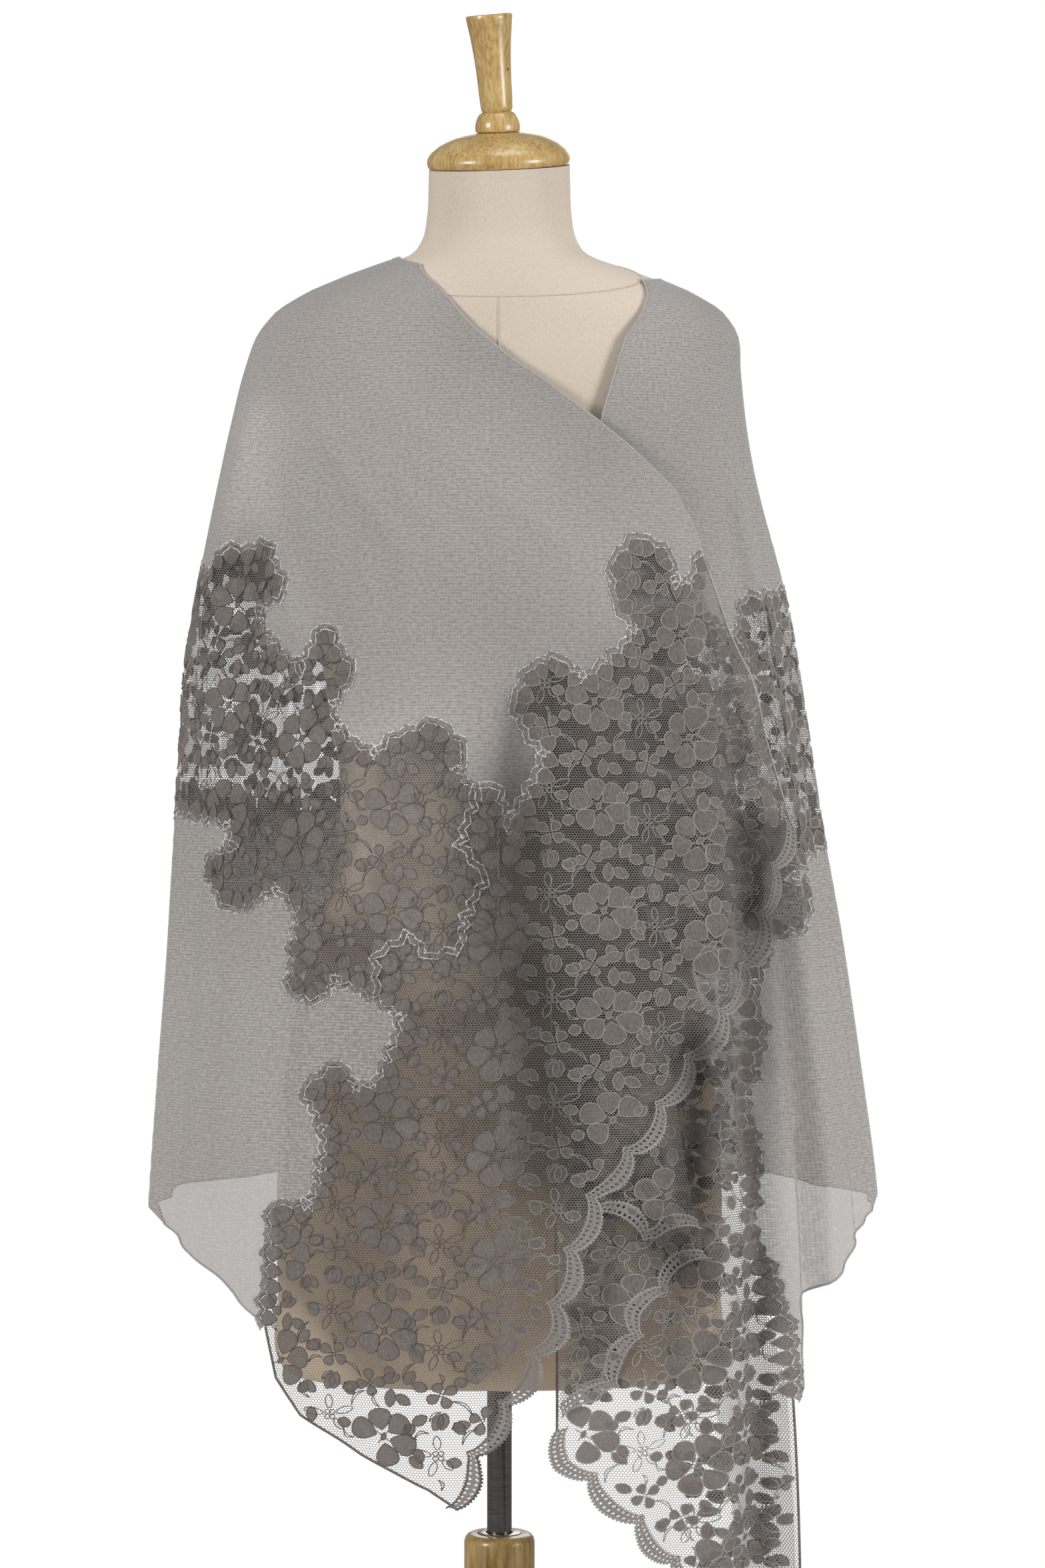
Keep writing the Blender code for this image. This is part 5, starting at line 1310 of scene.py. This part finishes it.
def lay_on(piece, lift, outline=None):
    """Drapes a flat piece. With an outline, a shape that reaches past it is left out whole."""
    data = piece.data
    count = len(data.vertices)
    flat = np.zeros(count * 3)
    data.vertices.foreach_get("co", flat)
    flat = flat.reshape(-1, 3)
    if outline is not None:
        tile, shape = np.zeros(count, dtype=np.int32), np.zeros(count, dtype=np.int32)
        data.attributes["tile"].data.foreach_get("value", tile)
        data.attributes["shape"].data.foreach_get("value", shape)
        whose = tile * (shape.max() + 1) + shape
        outside = np.unique(whose[~within(flat[:, :2], outline)])
        left_out = np.isin(whose, outside)
        mesh = bmesh.new()
        mesh.from_mesh(data)
        mesh.verts.ensure_lookup_table()
        bmesh.ops.delete(mesh, geom=[mesh.verts[i] for i in np.flatnonzero(left_out)], context="VERTS")
        mesh.to_mesh(data)
        mesh.free()
        flat = flat[~left_out]
    lifts = lift(flat[:, :2]) if callable(lift) else lift
    data.vertices.foreach_set("co", draped(flat[:, :2], flat[:, 2] + lifts).ravel())
    for name in ("tile", "shape", "corded"):
        if name in data.attributes:
            data.attributes.remove(data.attributes[name])
    data.update()


def grid_spots(outline, shift):
    """Where the repeats start, to cover an outline, moved by a shift."""
    low, high = outline.min(axis=0), outline.max(axis=0)
    columns = np.arange(math.floor(low[0] / REPEAT[0]) - 1, math.ceil(high[0] / REPEAT[0]) + 1)
    rows = np.arange(math.floor(low[1] / REPEAT[1]) - 1, math.ceil(high[1] / REPEAT[1]) + 1)
    return [[(c * REPEAT[0] + shift[0], r * REPEAT[1] + shift[1], 0.0)] for c in columns for r in rows]


def set_out(name, outline, lift, shift=(0.0, 0.0)):
    """A sheet's flowers: the repeats that fit whole inside its outline, draped on it."""
    flowers = grown(name, repeat_tree, grid_spots(outline, shift), Motif=repeat_motif, Filling=filling,
                    Cord=outline_cord)
    lay_on(flowers, lift, outline)
    flowers.data.shade_flat()
    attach(flowers, "dressed_form")
    return flowers


BORDER_CLEAR = 0.013        # flowers keep this far from a scalloped end
over_ground = joined(
    over_neck_lace, over_end + over_inward * BORDER_CLEAR, over_hem, over_lace_side[::-1], lace_joint[::-1],
    over_lace_top[::-1])
under_ground = joined(
    under_neck_lace, under_end + under_inward * BORDER_CLEAR, under_hem, under_lace_side[::-1],
    under_lace_joint[::-1], under_lace_top[::-1])
lace_pieces = {
    "over_end": [set_out("over_end_flowers", over_ground, FLOWER_LIFT)],
    "under_end": [set_out("under_end_flowers", under_ground, FLOWER_LIFT)],
    "band": [set_out("band_flowers", band_outline, FLOWER_LIFT)],
}

# The seams
# The lace is cut out round its petals and laid over the crepe, which is turned under for 5 mm. Two lines of
# silver chain stitch hold it: one on the petals' tips and one at the turning's edge.
STITCH_PITCH = 0.0022
SEAM_WIDTH = 0.0048         # between the two lines of stitches
STITCH_LIFT = 0.00045
TWIST = 0.45                # radians, between one stitch and the next


def beside(route, reach):
    """A line beside a route, to its left where reach is above 0."""
    way = np.gradient(route, axis=0)
    way /= np.linalg.norm(way, axis=1)[:, None]
    return route + np.stack((-way[:, 1], way[:, 0]), axis=1) * reach


def leftward(route):
    return (beside(route, 1.0) - route)


def ribbons(name, lines, lift, thick, finish):
    """Strips of cloth from (route, side ways, reaches, laid out reaches); UV runs along and across them."""
    flats, faces, laid_out, first = [], [], [], 0
    for route, side, reaches, laid in lines:
        reaches = np.broadcast_to(reaches, (len(route), np.shape(reaches)[-1]))
        laid = np.broadcast_to(laid, reaches.shape)
        flats.append((route[:, None] + side[:, None] * reaches[..., None]).reshape(-1, 2))
        along = np.broadcast_to(travelled(route)[:, None], reaches.shape)
        laid_out.append(np.stack((along, laid), axis=2).reshape(-1, 2))
        wide = reaches.shape[1]
        faces.extend(
            (first + i * wide + k, first + (i + 1) * wide + k, first + (i + 1) * wide + k + 1, first + i * wide + k + 1)
            for i in range(len(route) - 1) for k in range(wide - 1))
        first += reaches.size
    return shell(name, np.concatenate(flats), faces, lift, thick, finish, np.concatenate(laid_out))


def new_stitch(name, length, width, height):
    """One stitch: a little twisted lens of thread, lying along X."""
    rings = [(-length / 4, width / 2), (length / 4, width / 2)]
    points = [(-length / 2, 0.0, height * 0.2), (length / 2, 0.0, height * 0.2)]
    for at, half in rings:
        points.extend(((at, half, height * 0.1), (at, half * 0.5, height), (at, -half * 0.5, height),
                       (at, -half, height * 0.1)))
    faces = [(2 + i, 2 + (i + 1) % 4, 6 + (i + 1) % 4, 6 + i) for i in range(4)]
    faces.extend((0, 2 + (i + 1) % 4, 2 + i) for i in range(4))
    faces.extend((1, 6 + i, 6 + (i + 1) % 4) for i in range(4))
    data = bpy.data.meshes.new(name)
    data.from_pydata(points, [], faces)
    made = bpy.data.objects.new(name, data)
    bpy.context.scene.collection.objects.link(made)
    made.hide_render = True
    return made


sewing = bpy.data.node_groups.new("sewn_along", "GeometryNodeTree")
sewing.interface.new_socket("Geometry", in_out="INPUT", socket_type="NodeSocketGeometry")
for label, kind in (("Stitch", "Object"), ("Spacing", "Float"), ("Twist", "Float"), ("Finish", "Material")):
    sewing.interface.new_socket(label, in_out="INPUT", socket_type=f"NodeSocket{kind}")
sewing.interface.new_socket("Geometry", in_out="OUTPUT", socket_type="NodeSocketGeometry")
given = put(sewing, "NodeGroupInput").outputs
line = put(sewing, "GeometryNodeMeshToCurve", {}, {"Mesh": given["Geometry"]})
spaced = put(sewing, "GeometryNodeResampleCurve", {"mode": "LENGTH"}, {
    "Curve": line.outputs[0], "Length": given["Spacing"]})
way = put(sewing, "ShaderNodeSeparateXYZ", {}, {0: put(sewing, "GeometryNodeInputTangent").outputs[0]}).outputs
bearing = put(sewing, "ShaderNodeMath", {"operation": "ARCTAN2"}, {0: way[1], 1: way[0]}).outputs[0]
number = put(sewing, "GeometryNodeInputIndex").outputs[0]
other = put(sewing, "ShaderNodeMath", {"operation": "MODULO"}, {0: number, 1: 2.0}).outputs[0]
lean = put(sewing, "ShaderNodeMath", {"operation": "MULTIPLY_ADD"}, {0: other, 1: given["Twist"], 2: bearing})
spin = put(sewing, "ShaderNodeCombineXYZ", {}, {2: lean.outputs[0]})
stitch_in = put(sewing, "GeometryNodeObjectInfo", {}, {"Object": given["Stitch"]})
sewn = put(sewing, "GeometryNodeInstanceOnPoints", {}, {
    "Points": spaced.outputs[0], "Instance": stitch_in.outputs["Geometry"], "Rotation": spin.outputs[0]})
whole = put(sewing, "GeometryNodeRealizeInstances", {}, {0: sewn.outputs[0]})
dressed = put(sewing, "GeometryNodeSetMaterial", {}, {"Geometry": whole.outputs[0], "Material": given["Finish"]})
put(sewing, "NodeGroupOutput", {}, {0: dressed.outputs[0]})


def sewn_lines(name, lines, stitch, spacing, twist, finish, lift):
    stitches = grown(name, sewing, [[(*p, 0.0) for p in line] for line in lines], Stitch=stitch, Spacing=spacing,
                     Twist=twist, Finish=finish)
    lay_on(stitches, lift)
    stitches.data.shade_flat()
    return stitches


# Twisted rayon thread with a silver lustre, flecked with pale painted glints and dark painted shade along its twist
silver_thread, tree, shader = new_finish("silver_rayon_thread", Roughness=0.42, Sheen_Weight=0.4)
place = put(tree, "ShaderNodeTexCoord").outputs["Object"]
twisted = put(tree, "ShaderNodeTexNoise", {}, {"Vector": place, "Scale": 420.0, "Detail": 2.0}).outputs[0]
tones = put(tree, "ShaderNodeValToRGB", {}, {0: twisted})
tones.color_ramp.elements[0].position, tones.color_ramp.elements[1].position = 0.36, 0.58
tones.color_ramp.elements[0].color, tones.color_ramp.elements[1].color = linear("#6d6765"), linear("#d9d6d3")
# painted shade and painted light from the folds' "light" values
paint_fold_light(silver_thread, tones.outputs[0])

# The turned-under crepe shows through as a closer, darker strip
turning, tree, shader = new_finish("turned_under_crepe", Roughness=0.88, Sheen_Weight=0.2)
laid = put(tree, "ShaderNodeUVMap", {"uv_map": "flat"}).outputs[0]
gathers = put(tree, "ShaderNodeTexNoise", {}, {"Vector": laid, "Scale": 500.0, "Detail": 2.0}).outputs[0]
tone = put(tree, "ShaderNodeMix", {"data_type": "RGBA"}, {0: gathers, 6: linear("#726c69"), 7: linear("#a39e9a")})
# painted shade and painted light from the folds' "light" values
paint_fold_light(turning, tone.outputs[2])
cover = put(tree, "ShaderNodeMapRange", {}, {0: gathers, 1: 0.3, 2: 0.7, 3: 0.55, 4: 0.9})
tree.links.new(cover.outputs[0], shader.inputs["Alpha"])
bump = put(tree, "ShaderNodeBump", {}, {"Strength": 0.8, "Distance": 0.0006, "Height": gathers})
tree.links.new(bump.outputs[0], shader.inputs["Normal"])


def edge_petals(motif, route, each=6):
    """Sets a petal inside each rounded end of a seam that has its lace on the left."""
    for first in range(0, len(route) - 1, each):
        start, tip, end = route[first], route[first + each // 2], route[first + each]
        width = np.linalg.norm(end - start)
        inward = np.array((start[1] - end[1], end[0] - start[0])) / width
        length = 0.010 + 0.42 * width
        bearing = math.degrees(math.atan2(-inward[1], -inward[0]))
        motif.plate(turned_to(teardrop(length, width * 1.30, 14), tip + inward * (length - 0.0006), bearing))


def motif_piece(name, motif, lift):
    """A motif's shapes as a draped piece, in filling and cord."""
    piece = new_motif_object(name, motif)
    piece.hide_render = False
    piece.data.materials.append(filling)
    piece.data.materials.append(outline_cord)
    piece.data.polygons.foreach_set("material_index", motif.corded)
    lay_on(piece, lift)
    return piece


stitch = new_stitch("stitch", 0.0031, 0.0010, 0.0007)
for name, sewn_seams, joint_seams in (
    ("over_end", (over_lace_top, lace_joint, over_lace_side), ()),
    ("band", (band_top_left, top_back, band_top_right[::-1], band_foot_right, foot_back[::-1],
              band_foot_left[::-1]), (lace_joint[::-1], under_lace_joint)),
    ("under_end", (under_lace_top[::-1], under_lace_joint[::-1], under_lace_side[::-1]), ()),
):
    petals = Motif()
    for route in sewn_seams + joint_seams:
        edge_petals(petals, route)
    petals = motif_piece(name + "_seam_petals", petals, FLOWER_LIFT + 0.0003)
    strips = ribbons(name + "_turning", [
        (route, leftward(route), (-SEAM_WIDTH - 0.0006, -SEAM_WIDTH / 2, 0.0004), (0.0, SEAM_WIDTH / 2, SEAM_WIDTH))
        for route in sewn_seams], 0.00045, 0.0002, turning)
    lines = [beside(route, reach) for route in sewn_seams for reach in (-0.0002, -SEAM_WIDTH)]
    stitches = sewn_lines(name + "_stitches", lines, stitch, STITCH_PITCH, TWIST, silver_thread, STITCH_LIFT)
    for piece in (petals, strips, stitches):
        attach(piece, "dressed_form")
        lace_pieces[name].append(piece)

# The folded-back ends
# A corner of each end is turned back under itself, so a second layer with its own scallops shows below the
# first. The over end's lies behind it, and the under end's lies over its own lower part. The under end's
# long edge is also doubled behind itself in a narrow hanging pleat, and its crepe in a wider one beside the
# waist.
OVER_FOLD = ((0.076, 0.706), (0.062, 0.760), (0.085, 0.845), (0.126, 0.840), (0.134, 0.785), (0.141, 0.740),
             (0.149, 0.693))
OVER_FOLD_END = ((0.149, 0.693), (0.118, 0.682), (0.076, 0.706))
UNDER_FOLD = ((0.0475, 0.552), (0.047, 0.700), (0.060, 0.765), (0.140, 0.765), (0.154, 0.705), (0.156, 0.668))
UNDER_FOLD_END = ((0.156, 0.668), (0.126, 0.645), (0.106, 0.622), (0.093, 0.585), (0.073, 0.556), (0.0475, 0.552))
over_fold_end, over_fold_inward = scalloped(from_front(OVER_FOLD_END), -1)
under_fold_end, under_fold_inward = scalloped(from_front(UNDER_FOLD_END, 1), -1)


UNDER_PLEAT = ((0.172, 0.860), (0.164, 0.700), (0.164, 0.560), (0.186, 0.420), (0.228, 0.345), (0.226, 0.449),
               (0.222, 0.552), (0.205, 0.645), (0.192, 0.686), (0.196, 0.735), (0.188, 0.784), (0.197, 0.830),
               (0.172, 0.860))


SIDE_PLEAT = ((0.100, 1.120), (0.104, 0.980), (0.120, 0.900), (0.180, 0.905), (0.189, 0.960), (0.186, 1.040),
              (0.165, 1.110), (0.100, 1.120))
SIDE_PLEAT_LIFT = -0.0040


def over_fold_lift(flat):
    return -0.0045 + 0.0035 * smooth_step(flat[:, 1], -drop_at(0.790), -drop_at(0.845))


def under_fold_lift(flat):
    return 0.0035 - 0.0027 * smooth_step(flat[:, 1], -drop_at(0.700), -drop_at(0.765))


def pleat_lift(flat):
    return np.full(len(flat), -0.0030)


FOLD_SHIFT = (0.036, 0.021)     # the lace of a folded-back layer meets the upper one out of step
folds = []
for name, hidden, turns_back, end, inward, lift in (
    ("over_fold", OVER_FOLD, 0, over_fold_end, over_fold_inward, over_fold_lift),
    ("under_fold", UNDER_FOLD, 1, under_fold_end, under_fold_inward, under_fold_lift),
    ("under_pleat", UNDER_PLEAT, 1, None, None, pleat_lift),
):
    rest = stepped(from_front(hidden, turns_back))
    outline = ground = rest[:-1]
    if end is not None:
        outline, ground = joined(rest, end), joined(rest, end + inward * BORDER_CLEAR)
    else:
        middle = 0.5 * (rest[:, 0].min() + rest[:, 0].max())
        ground = rest[:-1] - np.stack((0.040 * (rest[:-1, 0] < middle), 0.0 * rest[:-1, 0]), axis=1)
    sheet, size, area = draped_sheet(name + "_net", outline, NET_STEPS, NET_THICK, net, lift)
    flowers = set_out(name + "_flowers", ground, lambda flat, lift=lift: lift(flat) + FLOWER_LIFT, FOLD_SHIFT)
    folds.append((name, sheet, size, area, [flowers], end, inward, lift))
side_outline = stepped(from_front(SIDE_PLEAT, 1))[:-1]
side_pleat, size, area = draped_sheet(
    "side_pleat_crepe", side_outline, CREPE_STEPS, CREPE_THICK, crepe, SIDE_PLEAT_LIFT)
folds.append(("side_pleat", side_pleat, size, area, [], None, None, None))

# The scalloped borders
# Both ends finish in round scallops: a close band with two rows of eyelets, corded near both its edges,
# with tiny picots outside and a fringe of threads that runs into the net inside.
BORDER_WIDE = 0.0120
BORDER_NARROW = 0.0080      # where two scallops meet
EYELET_PITCH = 0.0037
border, tree, shader = new_finish("scalloped_lace_border", Roughness=0.75, Sheen_Weight=0.25)
laid = put(tree, "ShaderNodeUVMap", {"uv_map": "flat"}).outputs[0]
axes = put(tree, "ShaderNodeSeparateXYZ", {}, {0: laid}).outputs
sideways = put(tree, "ShaderNodeMath", {"operation": "PINGPONG"}, {0: axes[0], 1: EYELET_PITCH / 2}).outputs[0]
to_row = put(tree, "ShaderNodeMath", {"operation": "SUBTRACT"}, {0: axes[1], 1: 0.0059}).outputs[0]
off_row = put(tree, "ShaderNodeMath", {"operation": "ABSOLUTE"}, {0: to_row}).outputs[0]
from_row = put(tree, "ShaderNodeMath", {"operation": "SUBTRACT"}, {0: off_row, 1: 0.0025}).outputs[0]
tall = put(tree, "ShaderNodeMath", {"operation": "MULTIPLY"}, {0: from_row, 1: 0.75}).outputs[0]
spot = put(tree, "ShaderNodeCombineXYZ", {}, {0: sideways, 1: tall}).outputs[0]
from_hole = put(tree, "ShaderNodeVectorMath", {"operation": "LENGTH"}, {0: spot}).outputs[1]
eyelets = put(tree, "ShaderNodeMath", {"operation": "GREATER_THAN"}, {0: from_hole, 1: 0.00092}).outputs[0]
teeth = put(tree, "ShaderNodeMath", {"operation": "PINGPONG"}, {0: axes[0], 1: 0.0011}).outputs[0]
tooth = put(tree, "ShaderNodeMath", {"operation": "LESS_THAN"}, {0: teeth, 1: 0.0005}).outputs[0]
close = put(tree, "ShaderNodeMath", {"operation": "LESS_THAN"}, {0: axes[1], 1: 0.0100}).outputs[0]
fringe = put(tree, "ShaderNodeMath", {"operation": "MAXIMUM"}, {0: close, 1: tooth}).outputs[0]
covered = put(tree, "ShaderNodeMath", {"operation": "MULTIPLY"}, {0: eyelets, 1: fringe}).outputs[0]
shown = put(tree, "ShaderNodeMath", {"operation": "MULTIPLY"}, {0: covered, 1: 0.94}).outputs[0]
tree.links.new(shown, shader.inputs["Alpha"])
flecks = put(tree, "ShaderNodeTexNoise", {}, {"Vector": laid, "Scale": 700.0, "Detail": 2.0}).outputs[0]
tone = put(tree, "ShaderNodeMix", {"data_type": "RGBA"}, {0: flecks, 6: linear("#6f6965"), 7: linear("#98928d")})
# painted shade and painted light from the folds' "light" values
paint_fold_light(border, tone.outputs[2])

picot = new_stitch("picot", 0.0019, 0.0017, 0.0006)
for name, edge, inward, lift in (
    ("over_end", over_end, over_inward, lambda flat: 0.0 * flat[:, 0]),
    ("under_end", under_end, under_inward, lambda flat: 0.0 * flat[:, 0]),
    *((fold[0], fold[5], fold[6], fold[7]) for fold in folds if fold[5] is not None),
):
    phase = np.arange(len(edge)) % 16 / 16
    width = BORDER_NARROW + (BORDER_WIDE - BORDER_NARROW) * np.sin(math.pi * phase)
    shares = np.linspace(0.0, 1.0, 6)
    band = ribbons(name + "_border", [(edge, inward, width[:, None] * shares, BORDER_WIDE * shares)],
                   lambda flat, lift=lift: lift(flat) + 0.0003, 0.0005, border)
    lines = [edge + inward * (width * share)[:, None] for share in (0.05, 0.88)]
    cords = sewn_lines(name + "_border_cords", lines, stitch, STITCH_PITCH, TWIST, outline_cord,
                       lambda flat, lift=lift: lift(flat) + 0.0005)
    picots = sewn_lines(name + "_picots", [edge - inward * 0.0003], picot, 0.0027, 0.0, outline_cord,
                        lambda flat, lift=lift: lift(flat) + 0.0001)
    for piece in (band, cords, picots):
        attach(piece, "dressed_form")
        if name in lace_pieces:
            lace_pieces[name].append(piece)
        else:
            next(fold for fold in folds if fold[0] == name)[4].append(piece)

# The hems
# Every free edge of the stole is hand-rolled: crepe in its own thread, lace in darker thread on the long
# lower edge. A roll is a round cord along the cloth's edge.
CREPE_ROLL = 0.0009
LACE_ROLL = 0.0010
rolled_crepe, tree, shader = new_finish("rolled_crepe_hem", Roughness=0.85, Sheen_Weight=0.3)
place = put(tree, "ShaderNodeTexCoord").outputs["Object"]
oversewn = put(tree, "ShaderNodeTexNoise", {}, {"Vector": place, "Scale": 350.0, "Detail": 2.0}).outputs[0]
tone = put(tree, "ShaderNodeMix", {"data_type": "RGBA"}, {0: oversewn, 6: linear("#8b8682"), 7: linear("#b4afab")})
tree.links.new(tone.outputs[2], shader.inputs["Base Color"])
rolled_lace, tree, shader = new_finish("rolled_lace_hem", Roughness=0.75, Sheen_Weight=0.2)
place = put(tree, "ShaderNodeTexCoord").outputs["Object"]
oversewn = put(tree, "ShaderNodeTexNoise", {}, {"Vector": place, "Scale": 350.0, "Detail": 2.0}).outputs[0]
tone = put(tree, "ShaderNodeMix", {"data_type": "RGBA"}, {0: oversewn, 6: linear("#453e3b"), 7: linear("#777069")})
tree.links.new(tone.outputs[2], shader.inputs["Base Color"])
crepe_pieces = {}
for name, routes, roll, finish in (
    ("crepe_upper_hems", (shoulder_neck, over_neck, under_neck, back_neck), CREPE_ROLL, rolled_crepe),
    ("crepe_foot_hems", (hem_left, hem_back, hem_right), CREPE_ROLL, rolled_crepe),
    ("over_end_roll", (over_neck_lace,), CREPE_ROLL, rolled_crepe),
    ("over_end_hems", (over_hem,), LACE_ROLL, rolled_lace),
    ("under_end_hems", (under_neck_lace, under_hem), LACE_ROLL, rolled_lace),
):
    hems = grown(name, round_tube, [draped(route, 0.0) for route in routes], Radius=roll, Sides=8, Finish=finish)
    hems.data.shade_smooth()
    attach(hems, "dressed_form")
    if "crepe" in name:
        crepe_pieces[name] = [hems]
    else:
        lace_pieces[name.rsplit("_", 1)[0]].append(hems)

for template in (repeat_motif, stitch, picot):
    bpy.data.objects.remove(template)

# Painted light and shade on the front, as (line in X and Z, reach, light on it): painted shade in dark valleys and
# painted light on lit swells for all the cloth, painted shade on lace alone, and painted shadow on what the over end
# covers
# painted shade in the valleys, where the light is under 1, and painted light on the swells, where it is over 1
PAINTED_FOLD_LIGHT = (
    (((0.002, 0.990), (0.004, 0.937), (0.028, 0.848), (0.040, 0.735)), 0.032, 0.60),
    (((0.014, 1.085), (0.006, 1.015)), 0.011, 0.62),
    (((0.207, 0.913), (0.205, 0.741), (0.213, 0.620)), 0.017, 0.58),
    (((-0.010, 1.160), (0.030, 1.130)), 0.050, 0.90),
    (((-0.075, 1.030), (-0.090, 0.950)), 0.055, 1.28),
    (((-0.190, 1.310), (-0.197, 1.250)), 0.026, 1.22),
)
# painted shade on the lace alone, where the layers below lie in shadow
PAINTED_LACE_SHADE = (
    (((0.199, 0.990), (0.200, 0.922)), 0.014, 0.32),
    (((0.154, 0.822), (0.152, 0.708)), 0.016, 0.26),
    (((0.122, 0.684), (0.148, 0.650)), 0.018, 0.42),
)
# painted shadow on what lies under the over end, and on the chest below the cloth's edge
PAINTED_SHADE_BENEATH = (
    (((0.030, 1.010), (0.050, 0.850), (0.080, 0.770)), 0.055, 0.45),
    (((0.120, 1.080), (0.130, 0.960), (0.130, 0.860)), 0.050, 0.50),
    (((0.000, 1.385), (0.080, 1.300)), 0.065, 0.86),
)


def store_painted_light(piece, valleys):
    """Stores each point's painted light: under 1 for painted shade, over 1 for painted light, against 1 on an even
    front.
    """
    count = len(piece.data.vertices)
    places = np.zeros(count * 3)
    piece.data.vertices.foreach_get("co", places)
    places = places.reshape(-1, 3)
    seen = places[:, ::2]
    light = np.ones(count)
    for line, reach, least in valleys:
        near = np.full(count, 9.0)
        for start, end in zip(line, line[1:]):
            start, run = np.array(start), np.subtract(end, start)
            along = np.clip((seen - start) @ run / (run @ run), 0.0, 1.0)
            near = np.minimum(near, np.linalg.norm(seen - start - along[:, None] * run, axis=1))
        light *= 1 - (1 - least) * np.exp(-(near / reach) ** 2) * (places[:, 1] < -0.02)
    values = piece.data.attributes.new("light", "FLOAT", "POINT")
    values.data.foreach_set("value", light)


# every piece with a painted-light finish takes its painted shade and light here
for piece in [p for p in bpy.data.objects if p.type == "MESH"]:
    if any(slot.material in PAINTED_LIGHT_FINISHES for slot in piece.material_slots):
        beneath = piece.name.startswith(("under", "form", "crepe", "band"))
        plain = piece.name.startswith(("form", "crepe"))
        store_painted_light(piece, PAINTED_FOLD_LIGHT + PAINTED_SHADE_BENEATH * beneath + PAINTED_LACE_SHADE * (not plain))

for piece, size, area, extras in (
    (crepe_upper, upper_size, upper_area, crepe_pieces["crepe_upper_hems"]),
    (crepe_hem, hem_size, hem_area, crepe_pieces["crepe_foot_hems"]),
    *((lace_sheets[f"{n}_net"][0], lace_sheets[f"{n}_net"][1], lace_sheets[f"{n}_net"][2], lace_pieces[n])
      for n in lace_pieces),
    *(fold[1:5] for fold in folds),
):
    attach(piece, "dressed_form")

# The floor, light and camera
# A pale floor and a white surround, as in a product photograph, lit softly from the front and above.
CAMERA_DISTANCE = 3.0
CAMERA_HEIGHT = 1.0264
CAMERA_ACROSS = 0.0187
FRAME_HEIGHT = 1.27         # of the photograph, at the pole
SENSOR = 36.0
paint, tree, shader = new_finish("pale_studio_floor", Roughness=0.9)
place = put(tree, "ShaderNodeTexCoord").outputs["Object"]
mottle = put(tree, "ShaderNodeTexNoise", {}, {"Vector": place, "Scale": 3.0, "Detail": 4.0}).outputs[0]
tone = put(tree, "ShaderNodeMix", {"data_type": "RGBA"}, {0: mottle, 6: linear("#e6e4e1"), 7: linear("#ecebe9")})
tree.links.new(tone.outputs[2], shader.inputs["Base Color"])
floor = turned("studio_floor", ((1.4, -0.02), (1.4, -0.0006)), 96, paint)

world = bpy.data.worlds.new("white_surround")
bpy.context.scene.world = world
world.use_nodes = True
tree = world.node_tree
tree.nodes.clear()
seen = put(tree, "ShaderNodeBackground", {}, {0: (1.0, 1.0, 1.0, 1.0), 1: 1.0})
glow = put(tree, "ShaderNodeBackground", {}, {0: (1.0, 0.995, 0.985, 1.0), 1: 0.24})
path = put(tree, "ShaderNodeLightPath")
both = put(tree, "ShaderNodeMixShader", {}, {
    0: path.outputs["Is Camera Ray"], 1: glow.outputs[0], 2: seen.outputs[0]})
put(tree, "ShaderNodeOutputWorld", {}, {0: both.outputs[0]})

for name, place, size, power in (
    ("key_light", (-2.5, -2.2, 1.9), 0.9, 73.0),
    ("fill_light", (2.6, -1.7, 1.4), 1.0, 66.0),
    ("top_light", (0.2, -0.6, 3.4), 1.0, 15.0),
    ("back_light", (0.4, 2.6, 1.9), 1.6, 22.0),
):
    lamp = bpy.data.lights.new(name, "AREA")
    lamp.size, lamp.energy = size, power
    stand = bpy.data.objects.new(name, lamp)
    stand.location = place
    stand.rotation_euler = (Vector((0.0, 0.0, 1.05)) - Vector(place)).to_track_quat("-Z", "Y").to_euler()
    bpy.context.scene.collection.objects.link(stand)

lens = bpy.data.cameras.new("camera")
lens.sensor_fit, lens.sensor_height = "VERTICAL", SENSOR
lens.lens = SENSOR * CAMERA_DISTANCE / FRAME_HEIGHT
camera = bpy.data.objects.new("camera", lens)
camera.location = (CAMERA_ACROSS, -CAMERA_DISTANCE, CAMERA_HEIGHT)
camera.rotation_euler = (math.pi / 2, 0.0, 0.0)
bpy.context.scene.collection.objects.link(camera)
bpy.context.scene.camera = camera
bpy.context.scene.view_settings.view_transform = "Standard"
bpy.context.scene.cycles.transparent_max_bounces = 40

bpy.context.view_layer.update()
